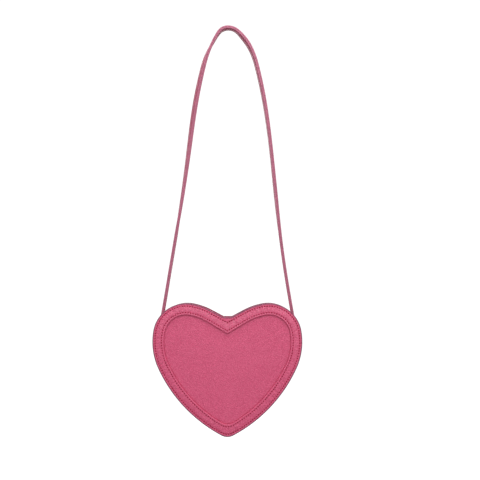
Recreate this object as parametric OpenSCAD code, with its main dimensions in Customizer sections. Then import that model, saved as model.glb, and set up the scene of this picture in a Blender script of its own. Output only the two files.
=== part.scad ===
// Heart shaped purse: two heart panels, a padded front border, a gusset wall behind raised
// rims, a zip over both lobes and one long shoulder strap. The purse hangs from the top of
// the strap loop, whose underside is at z = 0. The front faces -Y.

/* [Heart outline] */
// Width of the heart across its widest level
heart_w = 210; // [200:1:220]
// Height of the heart from its tip to the tops of its lobes
heart_h = 187; // [180:1:195]
// Radius of each lobe over its top and shoulder
lobe_r = 46; // [44:0.5:48]
// Angle on the lobe where it passes into the side
lobe_side_a = 10; // [6:1:14]
// Angle on the lobe where it passes into the flank of the notch
lobe_flank_a = 101; // [99:1:103]
// Radius of the flank between lobe top and notch
flank_r = 96; // [88:1:104]
// Slope of the straight run into the notch
notch_slope = 28; // [27:0.5:29]
// Extra slope that the window's notch has over the rim's
notch_gain = 3; // [0:0.5:4]
// Width of the flat cut across the bottom of the notch
notch_bridge_w = 12; // [9:0.5:15]
// Radius of the widest part of the side
side_r = 90; // [85:1:95]
// Radius of the long lower side
lower_r = 202; // [195:1:215]
// Radius of the rounded tip
tip_r = 17.5; // [15:0.5:20]

/* [Purse body] */
// Depth over the outer faces of the two panels
bag_depth = 50; // [44:1:58]
// Width of the rim that stands proud of the gusset wall
rim_w = 7; // [6.5:0.1:7.5]
// Thickness of the panel leather
panel_t = 1.6; // [1.2:0.1:2]
// Thickness of the gusset leather
gusset_t = 1.3; // [1:0.1:1.5]
// Thickness of the stiffener boards
board_t = 1.2; // [0.8:0.1:1.6]
// Thickness of the lining cloth
lining_t = 0.5; // [0.4:0.05:0.7]
// Gap that the strap backers and zip tapes fill between wall and lining
lining_gap = 0.9; // [0.85:0.05:1.2]
// Clearance of what is laid in between the walls
lay_fit = 0.3; // [0.2:0.05:0.4]

/* [Padded border] */
// Width of the border from the rim to the edge of its window
border_w = 16; // [15:0.5:18]
// Thickness of the border leather
border_t = 1.3; // [1:0.1:1.6]
// Distance of the outer stitch row from the rim
outer_stitch_in = 3; // [2.5:0.1:3.4]
// Distance of the inner stitch row from the edge of the window
inner_stitch_in = 4; // [3.6:0.1:4.4]
// Rise of the foam pad between the stitch rows
pad_rise = 1.4; // [1:0.1:2.4]
// Rise of the turned bead along the window
bead_rise = 0.6; // [0.4:0.1:1]
// Depth of the groove that a stitch row pulls into the leather
groove_d = 0.2; // [0.1:0.05:0.3]

/* [Zip] */
// Radius of the zip line over each lobe
zip_lobe_r = 50; // [49:0.5:51]
// Depth of the zip line below the top of the lobe
zip_top_in = 7.5; // [7.2:0.1:7.8]
// Depth of the zip line below the bottom of the notch
zip_notch_in = 7; // [6.5:0.1:8]
// Sideways shift of the zip arc's centre from the lobe's centre
zip_shift = 4; // [3.5:0.1:4.5]
// Width of the open mouth between the two leather strips
mouth_w = 13; // [12:0.5:15]
// Distance from the middle of the zip to the outer edge of each tape
tape_reach = 12; // [11:0.5:14]
// Distance from the middle of the zip to the inner edge of each tape
tape_edge = 1.2; // [1:0.05:1.4]
// Thickness of the zip tape
tape_t = 0.7; // [0.5:0.05:0.8]
// Spacing of the teeth on one tape
tooth_pitch = 3; // [2.8:0.1:3.4]
// Width of one tooth along the zip
tooth_w = 1.35; // [1.1:0.05:1.35]
// Height of a tooth through the tape
tooth_h = 2.4; // [2:0.1:2.6]
// Length of a tooth from the middle of the zip over its tape
tooth_leg = 3.1; // [2.8:0.1:3.3]
// Reach of a tooth's head past the middle of the zip
tooth_head = 0.8; // [0.6:0.05:0.9]
// Length of the leather tab over each end of the zip
tab_l = 9; // [8:0.5:10]
// Width of the leather tab over each end of the zip
tab_w = 18; // [16:0.5:22]
// Length of each metal stop
stop_l = 1.6; // [1.2:0.1:2]

/* [Slider and pull] */
// Length of the slider's body
slider_l = 9.4; // [9:0.1:10]
// Width of the slider's body at its nose
slider_w = 8.6; // [8.4:0.1:9.4]
// Width of the slider's body at its tail
slider_tail_w = 8.2; // [8:0.1:8.4]
// Thickness of the slider's plates
plate_t = 1.2; // [1:0.1:1.4]
// Thickness of the slider's side lips
lip_t = 0.6; // [0.5:0.05:0.65]
// Running clearance between slider and chain
slide_fit = 0.35; // [0.3:0.05:0.45]
// Thickness of the wedge that joins the slider's plates between the rows of teeth
wedge_t = 0.6; // [0.5:0.05:0.8]
// Clearance of the wedge between the rows of teeth
wedge_fit = 0.2; // [0.15:0.05:0.3]
// Angle that the slider runs from the closed end along its lobe
slider_run_a = 50; // [40:1:50]
// Width of the bridge that holds the pull
bridge_w = 2.2; // [1.8:0.1:2.4]
// Thickness of the bridge
bridge_t = 0.9; // [0.7:0.1:1]
// Length of the pull from its pivot to its end
pull_l = 21; // [18:0.5:21]
// Width of the pull
pull_w = 6.4; // [6:0.1:7]
// Thickness of the pull
pull_t = 1.3; // [1.1:0.1:1.4]
// Running clearance of the pull in its bridge
pull_fit = 0.2; // [0.15:0.05:0.3]

/* [Strap] */
// Width of the strap
strap_w = 12; // [11:0.5:14]
// Thickness of the strap, two leathers together
strap_t = 3.8; // [3.2:0.1:4.2]
// Height of the loop's underside above the tops of the lobes
strap_drop = 391; // [340:1:430]
// Radius of the bend at the top of the loop
crown_r = 18.6; // [16:0.1:22]
// Turn of the bend at the top of the loop
crown_a = 50; // [45:0.5:55]
// Radius of the shoulders of the loop
shoulder_r = 114.5; // [105:0.5:125]
// Turn at which the shoulders pass into the legs
shoulder_a = 75.5; // [74:0.5:78]
// Lean of each leg from the vertical where it meets the purse
anchor_lean = 10; // [8:0.5:12]
// Angle on the lobe where the strap crosses the rim
anchor_a = 42.1; // [41:0.1:45]
// Length of each sewn strap end along the gusset
sewn_l = 27; // [24:1:32]
// Gap between the strap's leg and its sewn end
flex_gap = 0.3; // [0.25:0.05:0.4]
// Thickness of the backers behind the sewn ends
backer_t = 0.7; // [0.5:0.05:0.75]
// Width of the backers behind the sewn ends
backer_w = 18; // [16:0.5:22]

/* [Hidden] */

// Overrun of every cutting shape
over = 1;
// Largest turn between two points of a curved edge
arc_step = 4;
// Points along each leg of the strap
leg_steps = 24;
// Share of a leg's length that each of its two curve handles takes
leg_handle_shares = [0.27, 0.6];
// Seat between leather pieces that lie on each other along a curve
seat = 0.08;

// Rise of the pad's dome over its width, as shares of its half width and of its rise
dome_shares = [[-0.75, 0.55], [-0.4, 0.88], [0, 1], [0.4, 0.88], [0.75, 0.55]];
// Share of the dome's half width where the pad ends on the panel
pad_end_share = 0.93;
// Rise of the turned bead over its width, as shares of its half width and of its rise
bead_shares = [[-0.6, 0.7], [0, 1], [0.7, 0.65]];
// Plan of half a tooth, as shares of its width and of its length from leg to head
tooth_shares = [[0.4, 0], [0.4, 0.6], [0.5, 0.74], [0.5, 0.9], [0.3, 1]];
// Plan of half a slider plate from tail to nose, as shares of half its length and half its width
slider_shares = [[-1, 0], [0.1, 0], [0.5, 1], [0.85, 1], [1, 0.55]];
// Share of the bridge's thickness that its corners are cut by
bridge_cut_share = 0.5;
// Plan of the wedge, as shares of half the slider's length and half the wedge's thickness
wedge_shares = [[0.05, 0], [0.2, 1], [0.8, 1], [0.95, 0], [0.8, -1], [0.2, -1]];

// Colours of the leather, the strap's edge, the tape, the cloth, the board, the foam and metal
leather_c = [0.79, 0.36, 0.49];
edge_c = [0.66, 0.40, 0.48];
tape_c = [0.74, 0.33, 0.46];
cloth_c = [0.86, 0.66, 0.70];
board_c = [0.72, 0.70, 0.66];
foam_c = [0.93, 0.90, 0.82];
metal_c = [0.83, 0.69, 0.44];

// Unit vector at an angle, a point that far along it, and the angle of a vector
function dir(a) = [cos(a), sin(a)];
function polar(c, r, a) = c + r * dir(a);
function bearing(v) = atan2(v[1], v[0]);
// Angle that a run along a circle turns through
function turn(run, r) = run / r * 180 / PI;

// Lists of points: all but the first, back to front, the left twin, and both sides as one line
function tail(p) = [for (i = [1:len(p) - 1]) p[i]];
function reversed(p) = [for (i = [len(p) - 1:-1:0]) p[i]];
function twin(p) = [for (q = p) [-q[0], q[1]]];
function over_top(p) = concat(reversed(twin(p)), tail(p));
function round_tip(p) = concat(p, tail(reversed(twin(p))));
function closed(p) = concat(p, tail(reversed(tail(twin(p)))));

// Parts that an arc is drawn in, and the arc's points
function parts(a0, a1) = max(1, ceil(abs(a1 - a0) / arc_step));
function arc_in(n, c, r, a0, a1) = [for (i = [0:n]) polar(c, r, a0 + (a1 - a0) * i / n)];
function arc(c, r, a0, a1) = arc_in(parts(a0, a1), c, r, a0, a1);

// The crossing of two circles that lies to the right of the line from the first to the second
function crossing(c0, r0, c1, r1) =
    let (d = norm(c1 - c0))
    let (run = (r0 * r0 - r1 * r1 + d * d) / (2 * d))
    let (off = sqrt(r0 * r0 - run * run))
    let (e = (c1 - c0) / d)
    c0 + run * e + off * [e[1], -e[0]];

// The first point where a line from p towards angle a meets a circle
function line_hit(p, a, c, r) =
    let (v = p - c)
    let (b = v * dir(a))
    p + (-b - sqrt(b * b - v * v + r * r)) * dir(a);

// Centres of the arcs of the heart's right half, and the angles where they pass into each other
lobe_c = [heart_w / 2 - side_r + (side_r - lobe_r) * cos(lobe_side_a), heart_h - lobe_r];
side_c = lobe_c + (lobe_r - side_r) * dir(lobe_side_a);
flank_c = lobe_c + (lobe_r - flank_r) * dir(lobe_flank_a);
lower_c = crossing(side_c, lower_r - side_r, [0, tip_r], lower_r - tip_r);
side_end_a = bearing(side_c - lower_c);

// Centre of the tip's arc at an inset, which keeps its radius and stays on the axis
function tip_c(t) =
    let (reach = lower_r - t - tip_r)
    [0, lower_c[1] - sqrt(reach * reach - lower_c[0] * lower_c[0])];
function tip_a(t) = bearing(tip_c(t) - lower_c);

// Slope of the run into the notch at an inset, and its height on the axis
function slope(t) = notch_slope + notch_gain * t / border_w;
function apex_z(t) =
    let (p = polar(flank_c, flank_r - t, 90 + slope(t)))
    p[1] - p[0] * tan(slope(t));
bridge_half = notch_bridge_w / 2;
function bridge_z_at(t) = apex_z(t) + bridge_half * tan(slope(t));
notch_z = bridge_z_at(0);

// Centres and ends of the arcs of the zip line, which rides over both lobes and dips between
zip_c = [lobe_c[0] - zip_shift, heart_h - zip_top_in - zip_lobe_r];
zip_low_z = notch_z - zip_notch_in;
zip_dip = zip_low_z - zip_c[1];
zip_notch_r = (zip_c[0] * zip_c[0] + zip_dip * zip_dip - zip_lobe_r * zip_lobe_r)
    / (2 * (zip_lobe_r - zip_dip));
zip_notch_c = [0, zip_low_z + zip_notch_r];
zip_join_a = bearing(zip_notch_c - zip_c);

// The seam where the zip section meets the bottom gusset, at an inset from the wall's face
function seam_at(d) = crossing(zip_c, zip_lobe_r - d, lobe_c, lobe_r - rim_w - d);
seam_zip_a = bearing(seam_at(0) - zip_c);
seam_lobe_a = bearing(seam_at(0) - lobe_c);

// Right half of the heart at an inset, from the notch to the seam and from the seam to the tip
function heart_top(t) = concat(
    [[0, t == 0 ? notch_z : apex_z(t)], [bridge_half, bridge_z_at(t)]],
    arc_in(parts(90 + notch_slope, lobe_flank_a), flank_c, flank_r - t, 90 + slope(t), lobe_flank_a),
    tail(arc(lobe_c, lobe_r - t, lobe_flank_a, seam_lobe_a))
);
function lower_run(t) = concat(
    arc(side_c, side_r - t, lobe_side_a, side_end_a),
    tail(arc_in(parts(side_end_a, tip_a(0)), lower_c, lower_r - t, side_end_a, tip_a(t))),
    tail(arc_in(parts(tip_a(0), -90), tip_c(t), tip_r, tip_a(t), -90))
);
function heart_low(t) = concat(arc(lobe_c, lobe_r - t, seam_lobe_a, lobe_side_a), tail(lower_run(t)));
function heart_loop(t) = closed(concat(heart_top(t), tail(heart_low(t))));

// Right half of the gusset wall at an inset from its outer face, in the same two parts
function wall_top(d) = concat(
    arc(zip_notch_c, zip_notch_r + d, -90, zip_join_a - 180),
    tail(arc(zip_c, zip_lobe_r - d, zip_join_a, bearing(seam_at(d) - zip_c)))
);
function wall_low(d) = concat(
    arc(lobe_c, lobe_r - rim_w - d, bearing(seam_at(d) - lobe_c), lobe_side_a),
    tail(lower_run(rim_w + d))
);
function wall_loop(d) = closed(concat(wall_top(d), tail(wall_low(d))));

// Levels through the depth, counted from the middle of the purse
face_y = bag_depth / 2;
under_y = face_y - panel_t;
flange_y = under_y - gusset_t;
board_y = under_y - board_t;
lining_y = board_y - lining_t;
mouth_y = mouth_w / 2;
lining_in = gusset_t + lining_gap;

// Places along the zip, whose middle lies chain_in under the zip line
chain_in = gusset_t + tape_t / 2;
notch_run = (zip_notch_r + chain_in) * (zip_join_a - 90) * PI / 180;
tab_end_a = seam_zip_a + turn(tab_l, zip_lobe_r);
teeth_end_a = tab_end_a + turn(stop_l + lay_fit, zip_lobe_r - chain_in);
teeth_run = notch_run + (zip_join_a - teeth_end_a) * (zip_lobe_r - chain_in) * PI / 180;
tooth_n = floor((teeth_run - tooth_w / 2) / tooth_pitch);
slider_a = tab_end_a + turn(stop_l + slider_l / 2 + 2 * lay_fit, zip_lobe_r);

// Heights of the slider and its pull, counted from the zip line
arc_sag = slider_l * slider_l / (8 * zip_lobe_r);
plate_z = tooth_h / 2 - chain_in + slide_fit;
plate_top = plate_z + plate_t;
lip_z = slide_fit - gusset_t;
keel_z = -tooth_h / 2 - chain_in - arc_sag - slide_fit;
keel_lip_z = -gusset_t - tape_t - arc_sag - slide_fit;
lip_in = slider_tail_w / 2 - lip_t;

// Reach of the teeth's heads where the slider's wedge runs between the rows, and that stretch
parted_reach = -wedge_t / 2 - wedge_fit;
parted_run = notch_run + (zip_join_a - slider_a - slider_run_a) * (zip_lobe_r - chain_in) * PI / 180;

pin_r = pull_t / 2;
pivot_z = plate_top + pull_fit + pin_r;
bridge_z = pivot_z + pin_r + pull_fit;
bridge_in = pin_r + 3 * pull_fit;
bridge_out = bridge_in + bridge_t;
window_in = norm([bridge_out, bridge_z + bridge_t - pivot_z]) + pull_fit;
window_half = bridge_w / 2 + pull_fit;

// Height of the heart's tip, and the point where the strap flexes as it crosses the rim
tip_z = -(strap_drop + heart_h);
flex_p = polar(lobe_c, lobe_r, anchor_a);
flex_z = tip_z + flex_p[1];
leg_a = anchor_lean - 90;

// Middle line of the strap's right half: a crown, a shoulder and a leg that hangs to the rim
crown_c = [0, strap_t / 2 - crown_r];
shoulder_c = polar(crown_c, crown_r - shoulder_r, 90 - crown_a);
leg_top = polar(shoulder_c, shoulder_r, 90 - shoulder_a);
leg_foot = [flex_p[0], flex_z];
leg_l = norm(leg_foot - leg_top);
leg_b = [
    leg_top,
    leg_top + leg_handle_shares[0] * leg_l * dir(-shoulder_a),
    leg_foot - leg_handle_shares[1] * leg_l * dir(leg_a),
    leg_foot
];
function leg_point(s) =
    let (w = [pow(1 - s, 3), 3 * s * pow(1 - s, 2), 3 * s * s * (1 - s), pow(s, 3)])
    w * leg_b;
function leg_course(s) =
    let (w = [pow(1 - s, 2), 2 * s * (1 - s), s * s])
    bearing(w * [leg_b[1] - leg_b[0], leg_b[2] - leg_b[1], leg_b[3] - leg_b[2]]);

// The strap's right half at a distance outside its middle line, run on past the flex point
function strap_line(o) = concat(
    arc(crown_c, crown_r + o, 90, 90 - crown_a),
    tail(arc(shoulder_c, shoulder_r + o, 90 - crown_a, 90 - shoulder_a)),
    [for (i = [1:leg_steps]) polar(leg_point(i / leg_steps), o, leg_course(i / leg_steps) + 90)],
    [polar(leg_foot, strap_w, leg_a) + o * dir(anchor_lean)]
);

// Outline of the right sewn end: from under the flex point down to the wall and along it
sewn_z = flex_p[1] - strap_w / 2 - flex_gap;
sewn_x = flex_p[0] + (flex_p[1] - sewn_z) * tan(anchor_lean);
sewn_half = strap_t / 2 / cos(anchor_lean);
sewn_in = [sewn_x - sewn_half, sewn_z];
sewn_out = [sewn_x + sewn_half, sewn_z];
wall_r = lobe_r - rim_w;
land_in_a = bearing(line_hit(sewn_in, leg_a, lobe_c, wall_r + seat) - lobe_c);
land_out_a = bearing(line_hit(sewn_out, leg_a, lobe_c, wall_r + seat + strap_t) - lobe_c);
sewn_end_a = lobe_side_a
    - turn(sewn_l - (land_in_a - lobe_side_a) * wall_r * PI / 180, side_r - rim_w);
function along_wall(o, a) = concat(
    arc(lobe_c, wall_r + o, a, lobe_side_a),
    tail(arc(side_c, side_r - rim_w + o, lobe_side_a, sewn_end_a))
);

// The section of the border leather and of its pad: distance from the rim, rise from the panel
pad_mid = (outer_stitch_in + border_w - inner_stitch_in) / 2;
pad_half = pad_mid - outer_stitch_in;
bead_half = inner_stitch_in / 2;
function dome(rise) = [for (s = dome_shares) [pad_mid + s[0] * pad_half, rise + s[1] * pad_rise]];
pad_section = concat(
    [[pad_mid - pad_end_share * pad_half, 0]],
    dome(0),
    [[pad_mid + pad_end_share * pad_half, 0]]
);
border_section = concat(
    [[0, border_t], [outer_stitch_in, border_t - groove_d]],
    dome(border_t),
    [[border_w - inner_stitch_in, border_t - groove_d]],
    [for (s = bead_shares) [border_w - bead_half + s[0] * bead_half, border_t + s[1] * bead_rise]],
    [[border_w, border_t], [border_w, 0]],
    reversed(pad_section),
    [[0, 0]]
);

// A prism along Y of a flat shape drawn in X and Z
module slab(y0, y1) {
    translate([0, y1, 0])
        rotate([90, 0, 0])
            linear_extrude(height = y1 - y0)
                children();
}

// Moves what is drawn from the heart's tip to its place under the strap
module on_bag() {
    translate([0, 0, tip_z])
        children();
}

// What is drawn at the front, kept there or turned to the back
module at_face(back) {
    mirror([0, back ? 1 : 0, 0])
        children();
}

// What is drawn on the right, kept there or turned to the left
module at_side(left) {
    mirror([left ? 1 : 0, 0, 0])
        children();
}

// Flat bands between two lines over the top, and between two lines round the tip
module top_band(outer, inner) {
    polygon(concat(over_top(outer), reversed(over_top(inner))));
}

module low_band(outer, inner) {
    polygon(concat(round_tip(outer), reversed(round_tip(inner))));
}

// A ring that carries one section all round the front panel's rim
module heart_sweep(section) {
    lines = [for (p = section) heart_loop(p[0])];
    n = len(lines[0]);
    m = len(section);
    points = [
        for (i = [0:n - 1])
            for (k = [0:m - 1])
                [lines[k][i][0], -face_y - section[k][1], lines[k][i][1]]
    ];
    faces = [
        for (i = [0:n - 1])
            for (k = [0:m - 1])
                let (a = i * m, b = (i + 1) % n * m, l = (k + 1) % m)
                each [[a + k, b + k, a + l], [a + l, b + k, b + l]]
    ];
    polyhedron(points = points, faces = faces);
}

// Puts a piece on the zip line, upright on its face: over a lobe, in the dip, or a run along it
module on_lobe(left, a) {
    at_side(left)
        translate([zip_c[0], 0, zip_c[1]])
            rotate([0, 90 - a, 0])
                translate([0, 0, zip_lobe_r])
                    children();
}

module in_dip(left, a) {
    at_side(left)
        translate([0, 0, zip_notch_c[1]])
            rotate([0, -a, 0])
                translate([0, 0, -zip_notch_r])
                    children();
}

module along_zip(run) {
    if (abs(run) <= notch_run)
        in_dip(run < 0, turn(abs(run), zip_notch_r + chain_in))
            children();
    else
        on_lobe(run < 0, zip_join_a - turn(abs(run) - notch_run, zip_lobe_r - chain_in))
            children();
}

// One leather of the strap, between two distances outside the middle line, with its legs'
// ends rounded about the flex axis
module strap_leather(o0, o1) {
    reach = leg_foot[0] + strap_w;
    intersection() {
        slab(-strap_w / 2, strap_w / 2)
            top_band(strap_line(o1), strap_line(o0));
        union() {
            translate([-reach, -strap_w, flex_z])
                cube([2 * reach, 2 * strap_w, strap_t + over - flex_z]);
            translate([-reach, 0, flex_z])
                rotate([0, 90, 0])
                    cylinder(h = 2 * reach, r = strap_w / 2, $fn = 64);
        }
    }
}

module strap_outer() {
    color(leather_c)
        strap_leather(0, strap_t / 2);
}

module strap_inner() {
    color(edge_c)
        strap_leather(-strap_t / 2, 0);
}

// Strap end sewn on the gusset wall between the rims
module strap_end(left) {
    color(leather_c)
        on_bag()
            at_side(left)
                slab(-strap_w / 2, strap_w / 2)
                    polygon(concat(
                        [sewn_in],
                        along_wall(seat, land_in_a),
                        reversed(along_wall(seat + strap_t, land_out_a)),
                        [sewn_out]
                    ));
}

module strap_end_left() {
    strap_end(true);
}

module strap_end_right() {
    strap_end(false);
}

// Backers that take the strap's stitches on the inside of the wall
module strap_backers() {
    color(board_c)
        on_bag()
            for (left = [false, true])
                at_side(left)
                    slab(-backer_w / 2, backer_w / 2)
                        polygon(concat(
                            along_wall(-gusset_t - seat, land_in_a),
                            reversed(along_wall(-gusset_t - seat - backer_t, land_in_a))
                        ));
}

// Leather heart that closes a face of the purse
module heart_panel(back) {
    color(leather_c)
        on_bag()
            at_face(back)
                slab(-face_y, -under_y)
                    polygon(heart_loop(0));
}

module front_panel() {
    heart_panel(false);
}

module back_panel() {
    heart_panel(true);
}

// Border leather that is drawn over a foam pad and sewn down on both sides of it
module front_border() {
    color(leather_c)
        on_bag()
            heart_sweep(border_section);
}

module border_pad() {
    color(foam_c)
        on_bag()
            heart_sweep(pad_section);
}

// A sheet inside the walls, between two levels behind a panel
module inside_sheet(back, y0, y1) {
    on_bag()
        at_face(back)
            slab(-y0, -y1)
                polygon(wall_loop(gusset_t + lay_fit));
}

module front_board() {
    color(board_c)
        inside_sheet(false, under_y, board_y);
}

module back_board() {
    color(board_c)
        inside_sheet(true, under_y, board_y);
}

module lining_front() {
    color(cloth_c)
        inside_sheet(false, board_y, lining_y);
}

module lining_back() {
    color(cloth_c)
        inside_sheet(true, board_y, lining_y);
}

// Lining of the walls, open along the mouth
module lining_gusset() {
    half = mouth_y + lining_t;
    color(cloth_c)
        on_bag()
            difference() {
                slab(-lining_y, lining_y)
                    difference() {
                        polygon(wall_loop(lining_in));
                        polygon(wall_loop(lining_in + lining_t));
                    }
                slab(-half, half)
                    top_band(wall_top(0), wall_top(lining_in + lining_t + over));
            }
}

// Gusset wall round the tip, with a flange turned out along each panel
module bottom_gusset() {
    color(leather_c)
        on_bag() {
            slab(-under_y, under_y)
                low_band(wall_low(0), wall_low(gusset_t));
            for (back = [false, true])
                at_face(back)
                    slab(-under_y, -flange_y)
                        low_band(heart_low(0), wall_low(gusset_t));
        }
}

// Leather strip between a panel and the zip, with the same flange
module zip_strip(back) {
    color(leather_c)
        on_bag()
            at_face(back) {
                slab(-under_y, -mouth_y)
                    top_band(wall_top(0), wall_top(gusset_t));
                slab(-under_y, -flange_y)
                    top_band(heart_top(0), wall_top(gusset_t));
            }
}

module zip_strip_front() {
    zip_strip(false);
}

module zip_strip_back() {
    zip_strip(true);
}

// Woven tape under a leather strip
module zip_tape(back) {
    color(tape_c)
        on_bag()
            at_face(back)
                slab(-tape_reach, -tape_edge)
                    top_band(wall_top(gusset_t), wall_top(gusset_t + tape_t));
}

module zip_tape_front() {
    zip_tape(false);
}

module zip_tape_back() {
    zip_tape(true);
}

// A block that grips the tape's edge, drawn from above and cut to straddle the tape
module on_tape() {
    slot_h = tape_t + 2 * seat;
    difference() {
        translate([0, 0, -chain_in - tooth_h / 2])
            linear_extrude(height = tooth_h)
                children();
        for (back = [false, true])
            at_face(back)
                translate([-tooth_pitch, -tape_reach, -chain_in - slot_h / 2])
                    cube([2 * tooth_pitch, tape_reach - tape_edge + seat, slot_h]);
    }
}

module tooth(reach) {
    half = [for (s = tooth_shares) [s[0] * tooth_w, s[1] * (tooth_leg + reach) - tooth_leg]];
    on_tape()
        polygon(concat(half, reversed(twin(half))));
}

// The teeth on one tape, set half a pitch on from the other row and drawn in from it where
// the slider runs
module zip_chain(back) {
    color(metal_c)
        on_bag()
            at_face(back)
                for (i = [-tooth_n:tooth_n - (back ? 1 : 0)])
                    let (run = (i + (back ? 1 / 2 : 0)) * tooth_pitch)
                        along_zip(run)
                            tooth(run > parted_run ? parted_reach : tooth_head);
}

module zip_chain_front() {
    zip_chain(false);
}

module zip_chain_back() {
    zip_chain(true);
}

// A crimped stop on each tape at the closed end, and one over both tapes at the other
module zip_stops() {
    stop_a = tab_end_a + turn(stop_l / 2, zip_lobe_r);
    color(metal_c)
        on_bag() {
            for (back = [false, true])
                at_face(back)
                    on_lobe(false, stop_a)
                        on_tape()
                            translate([-stop_l / 2, -tooth_leg])
                                square([stop_l, tooth_leg - tape_edge / 2]);
            on_lobe(true, stop_a)
                on_tape()
                    translate([-stop_l / 2, -tooth_leg])
                        square([stop_l, 2 * tooth_leg]);
        }
}

// Leather tab sewn over an end of the zip
module zip_tab(left) {
    color(leather_c)
        on_bag()
            at_side(left)
                slab(-tab_w / 2, tab_w / 2)
                    polygon(concat(
                        arc(zip_c, zip_lobe_r + seat, seam_zip_a, tab_end_a),
                        arc(zip_c, zip_lobe_r + seat + gusset_t, tab_end_a, seam_zip_a)
                    ));
}

module zip_tab_left() {
    zip_tab(true);
}

module zip_tab_right() {
    zip_tab(false);
}

// Plan of a slider plate, wide at its nose, which points to the closed end
module slider_plan() {
    half = [
        for (s = slider_shares)
            [s[0] * slider_l / 2, (slider_tail_w + s[1] * (slider_w - slider_tail_w)) / 2]
    ];
    polygon(concat(half, [for (p = reversed(half)) [p[0], -p[1]]]));
}

// Plan of the wedge that joins the plates and parts the rows
module wedge_plan() {
    polygon([
        for (s = wedge_shares)
            [s[0] * slider_l / 2, s[1] * wedge_t / 2]
    ]);
}

module slider_lips() {
    difference() {
        slider_plan();
        square([slider_l + over, 2 * lip_in], center = true);
    }
}

// Bridge over the pull's bar
module slider_bridge() {
    cut = bridge_t * bridge_cut_share;
    slab(-bridge_w / 2, bridge_w / 2)
        polygon([
            [-bridge_out, plate_top], [-bridge_out, bridge_z + bridge_t - cut],
            [cut - bridge_out, bridge_z + bridge_t], [bridge_out - cut, bridge_z + bridge_t],
            [bridge_out, bridge_z + bridge_t - cut], [bridge_out, plate_top],
            [bridge_in, plate_top], [bridge_in, bridge_z],
            [-bridge_in, bridge_z], [-bridge_in, plate_top]
        ]);
}

// Slider with a plate over and under the chain and lips that run along the tapes
module zip_slider() {
    color(metal_c)
        on_bag()
            on_lobe(false, slider_a) {
                translate([0, 0, plate_z])
                    linear_extrude(height = plate_t)
                        slider_plan();
                translate([0, 0, keel_z])
                    linear_extrude(height = plate_z - keel_z)
                        wedge_plan();
                translate([0, 0, lip_z])
                    linear_extrude(height = plate_z - lip_z)
                        slider_lips();
                translate([0, 0, keel_z - plate_t])
                    linear_extrude(height = plate_t)
                        slider_plan();
                translate([0, 0, keel_z])
                    linear_extrude(height = keel_lip_z - keel_z)
                        slider_lips();
                slider_bridge();
            }
}

// Pull that lies back along the zip and turns up round its bar
module zip_pull() {
    blade_l = pull_l - pull_w / 2;
    color(metal_c)
        on_bag()
            on_lobe(false, slider_a)
                translate([0, 0, pivot_z]) {
                    rotate([90, 0, 0])
                        cylinder(h = pull_w, r = pin_r, center = true, $fn = 32);
                    translate([0, 0, -pin_r])
                        linear_extrude(height = pull_t)
                            difference() {
                                union() {
                                    translate([-blade_l, -pull_w / 2])
                                        square([blade_l, pull_w]);
                                    translate([-blade_l, 0])
                                        circle(r = pull_w / 2, $fn = 64);
                                }
                                translate([-window_in, -window_half])
                                    square([window_in - pin_r / 2, 2 * window_half]);
                            }
                }
}

strap_outer();
strap_inner();
strap_end_left();
strap_end_right();
strap_backers();
front_panel();
back_panel();
front_border();
border_pad();
front_board();
back_board();
bottom_gusset();
zip_strip_front();
zip_strip_back();
zip_tape_front();
zip_tape_back();
zip_chain_front();
zip_chain_back();
zip_stops();
zip_tab_left();
zip_tab_right();
lining_front();
lining_back();
lining_gusset();
zip_slider();
zip_pull();
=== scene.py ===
"""Looks for a heart shaped leather purse that hangs by its long strap."""

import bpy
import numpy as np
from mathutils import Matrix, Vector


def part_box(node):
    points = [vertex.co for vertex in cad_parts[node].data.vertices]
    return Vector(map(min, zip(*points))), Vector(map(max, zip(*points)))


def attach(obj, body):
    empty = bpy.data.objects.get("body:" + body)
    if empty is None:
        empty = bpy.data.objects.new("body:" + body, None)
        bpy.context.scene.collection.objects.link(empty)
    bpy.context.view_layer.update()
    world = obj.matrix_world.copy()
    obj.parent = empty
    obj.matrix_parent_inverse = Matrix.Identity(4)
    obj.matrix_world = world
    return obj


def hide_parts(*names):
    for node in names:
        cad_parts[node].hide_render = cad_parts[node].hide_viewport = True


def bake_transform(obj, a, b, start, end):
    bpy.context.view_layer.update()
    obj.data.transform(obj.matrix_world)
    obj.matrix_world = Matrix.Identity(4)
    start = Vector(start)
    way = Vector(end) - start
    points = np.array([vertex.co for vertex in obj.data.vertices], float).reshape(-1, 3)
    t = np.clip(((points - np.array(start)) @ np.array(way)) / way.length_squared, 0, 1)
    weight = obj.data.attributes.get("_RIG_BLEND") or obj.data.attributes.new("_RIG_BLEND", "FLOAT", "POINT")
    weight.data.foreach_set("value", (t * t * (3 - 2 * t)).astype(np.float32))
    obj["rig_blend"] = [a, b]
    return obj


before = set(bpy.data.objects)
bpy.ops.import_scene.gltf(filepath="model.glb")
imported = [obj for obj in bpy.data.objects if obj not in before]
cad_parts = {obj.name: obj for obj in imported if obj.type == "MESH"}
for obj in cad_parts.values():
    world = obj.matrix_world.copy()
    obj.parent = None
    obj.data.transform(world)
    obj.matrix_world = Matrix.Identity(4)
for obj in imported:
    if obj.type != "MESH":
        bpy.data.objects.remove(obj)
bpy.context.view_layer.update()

import logging
import math
from dataclasses import dataclass
from enum import Enum
from functools import cached_property
from typing import Any, Sequence

import bmesh
import bpy
import numpy as np
from mathutils import Matrix, Vector

log = logging.getLogger("purse")
MM = 0.001
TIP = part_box("bottom_gusset")[0].z / MM

# Distance of the panels' faces and of the wall's edges from the middle, in millimetres.
FACE, WALL_HALF = 25.0, 23.38
# The angle past which an edge stays sharp, in degrees.
CREASE = 40.0
# How near points are joined: in a piece and in a small one, in metres, and in a plate's drawing.
JOIN, JOIN_SMALL, JOIN_DRAWN = 1e-6, 1e-7, 1e-4
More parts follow.
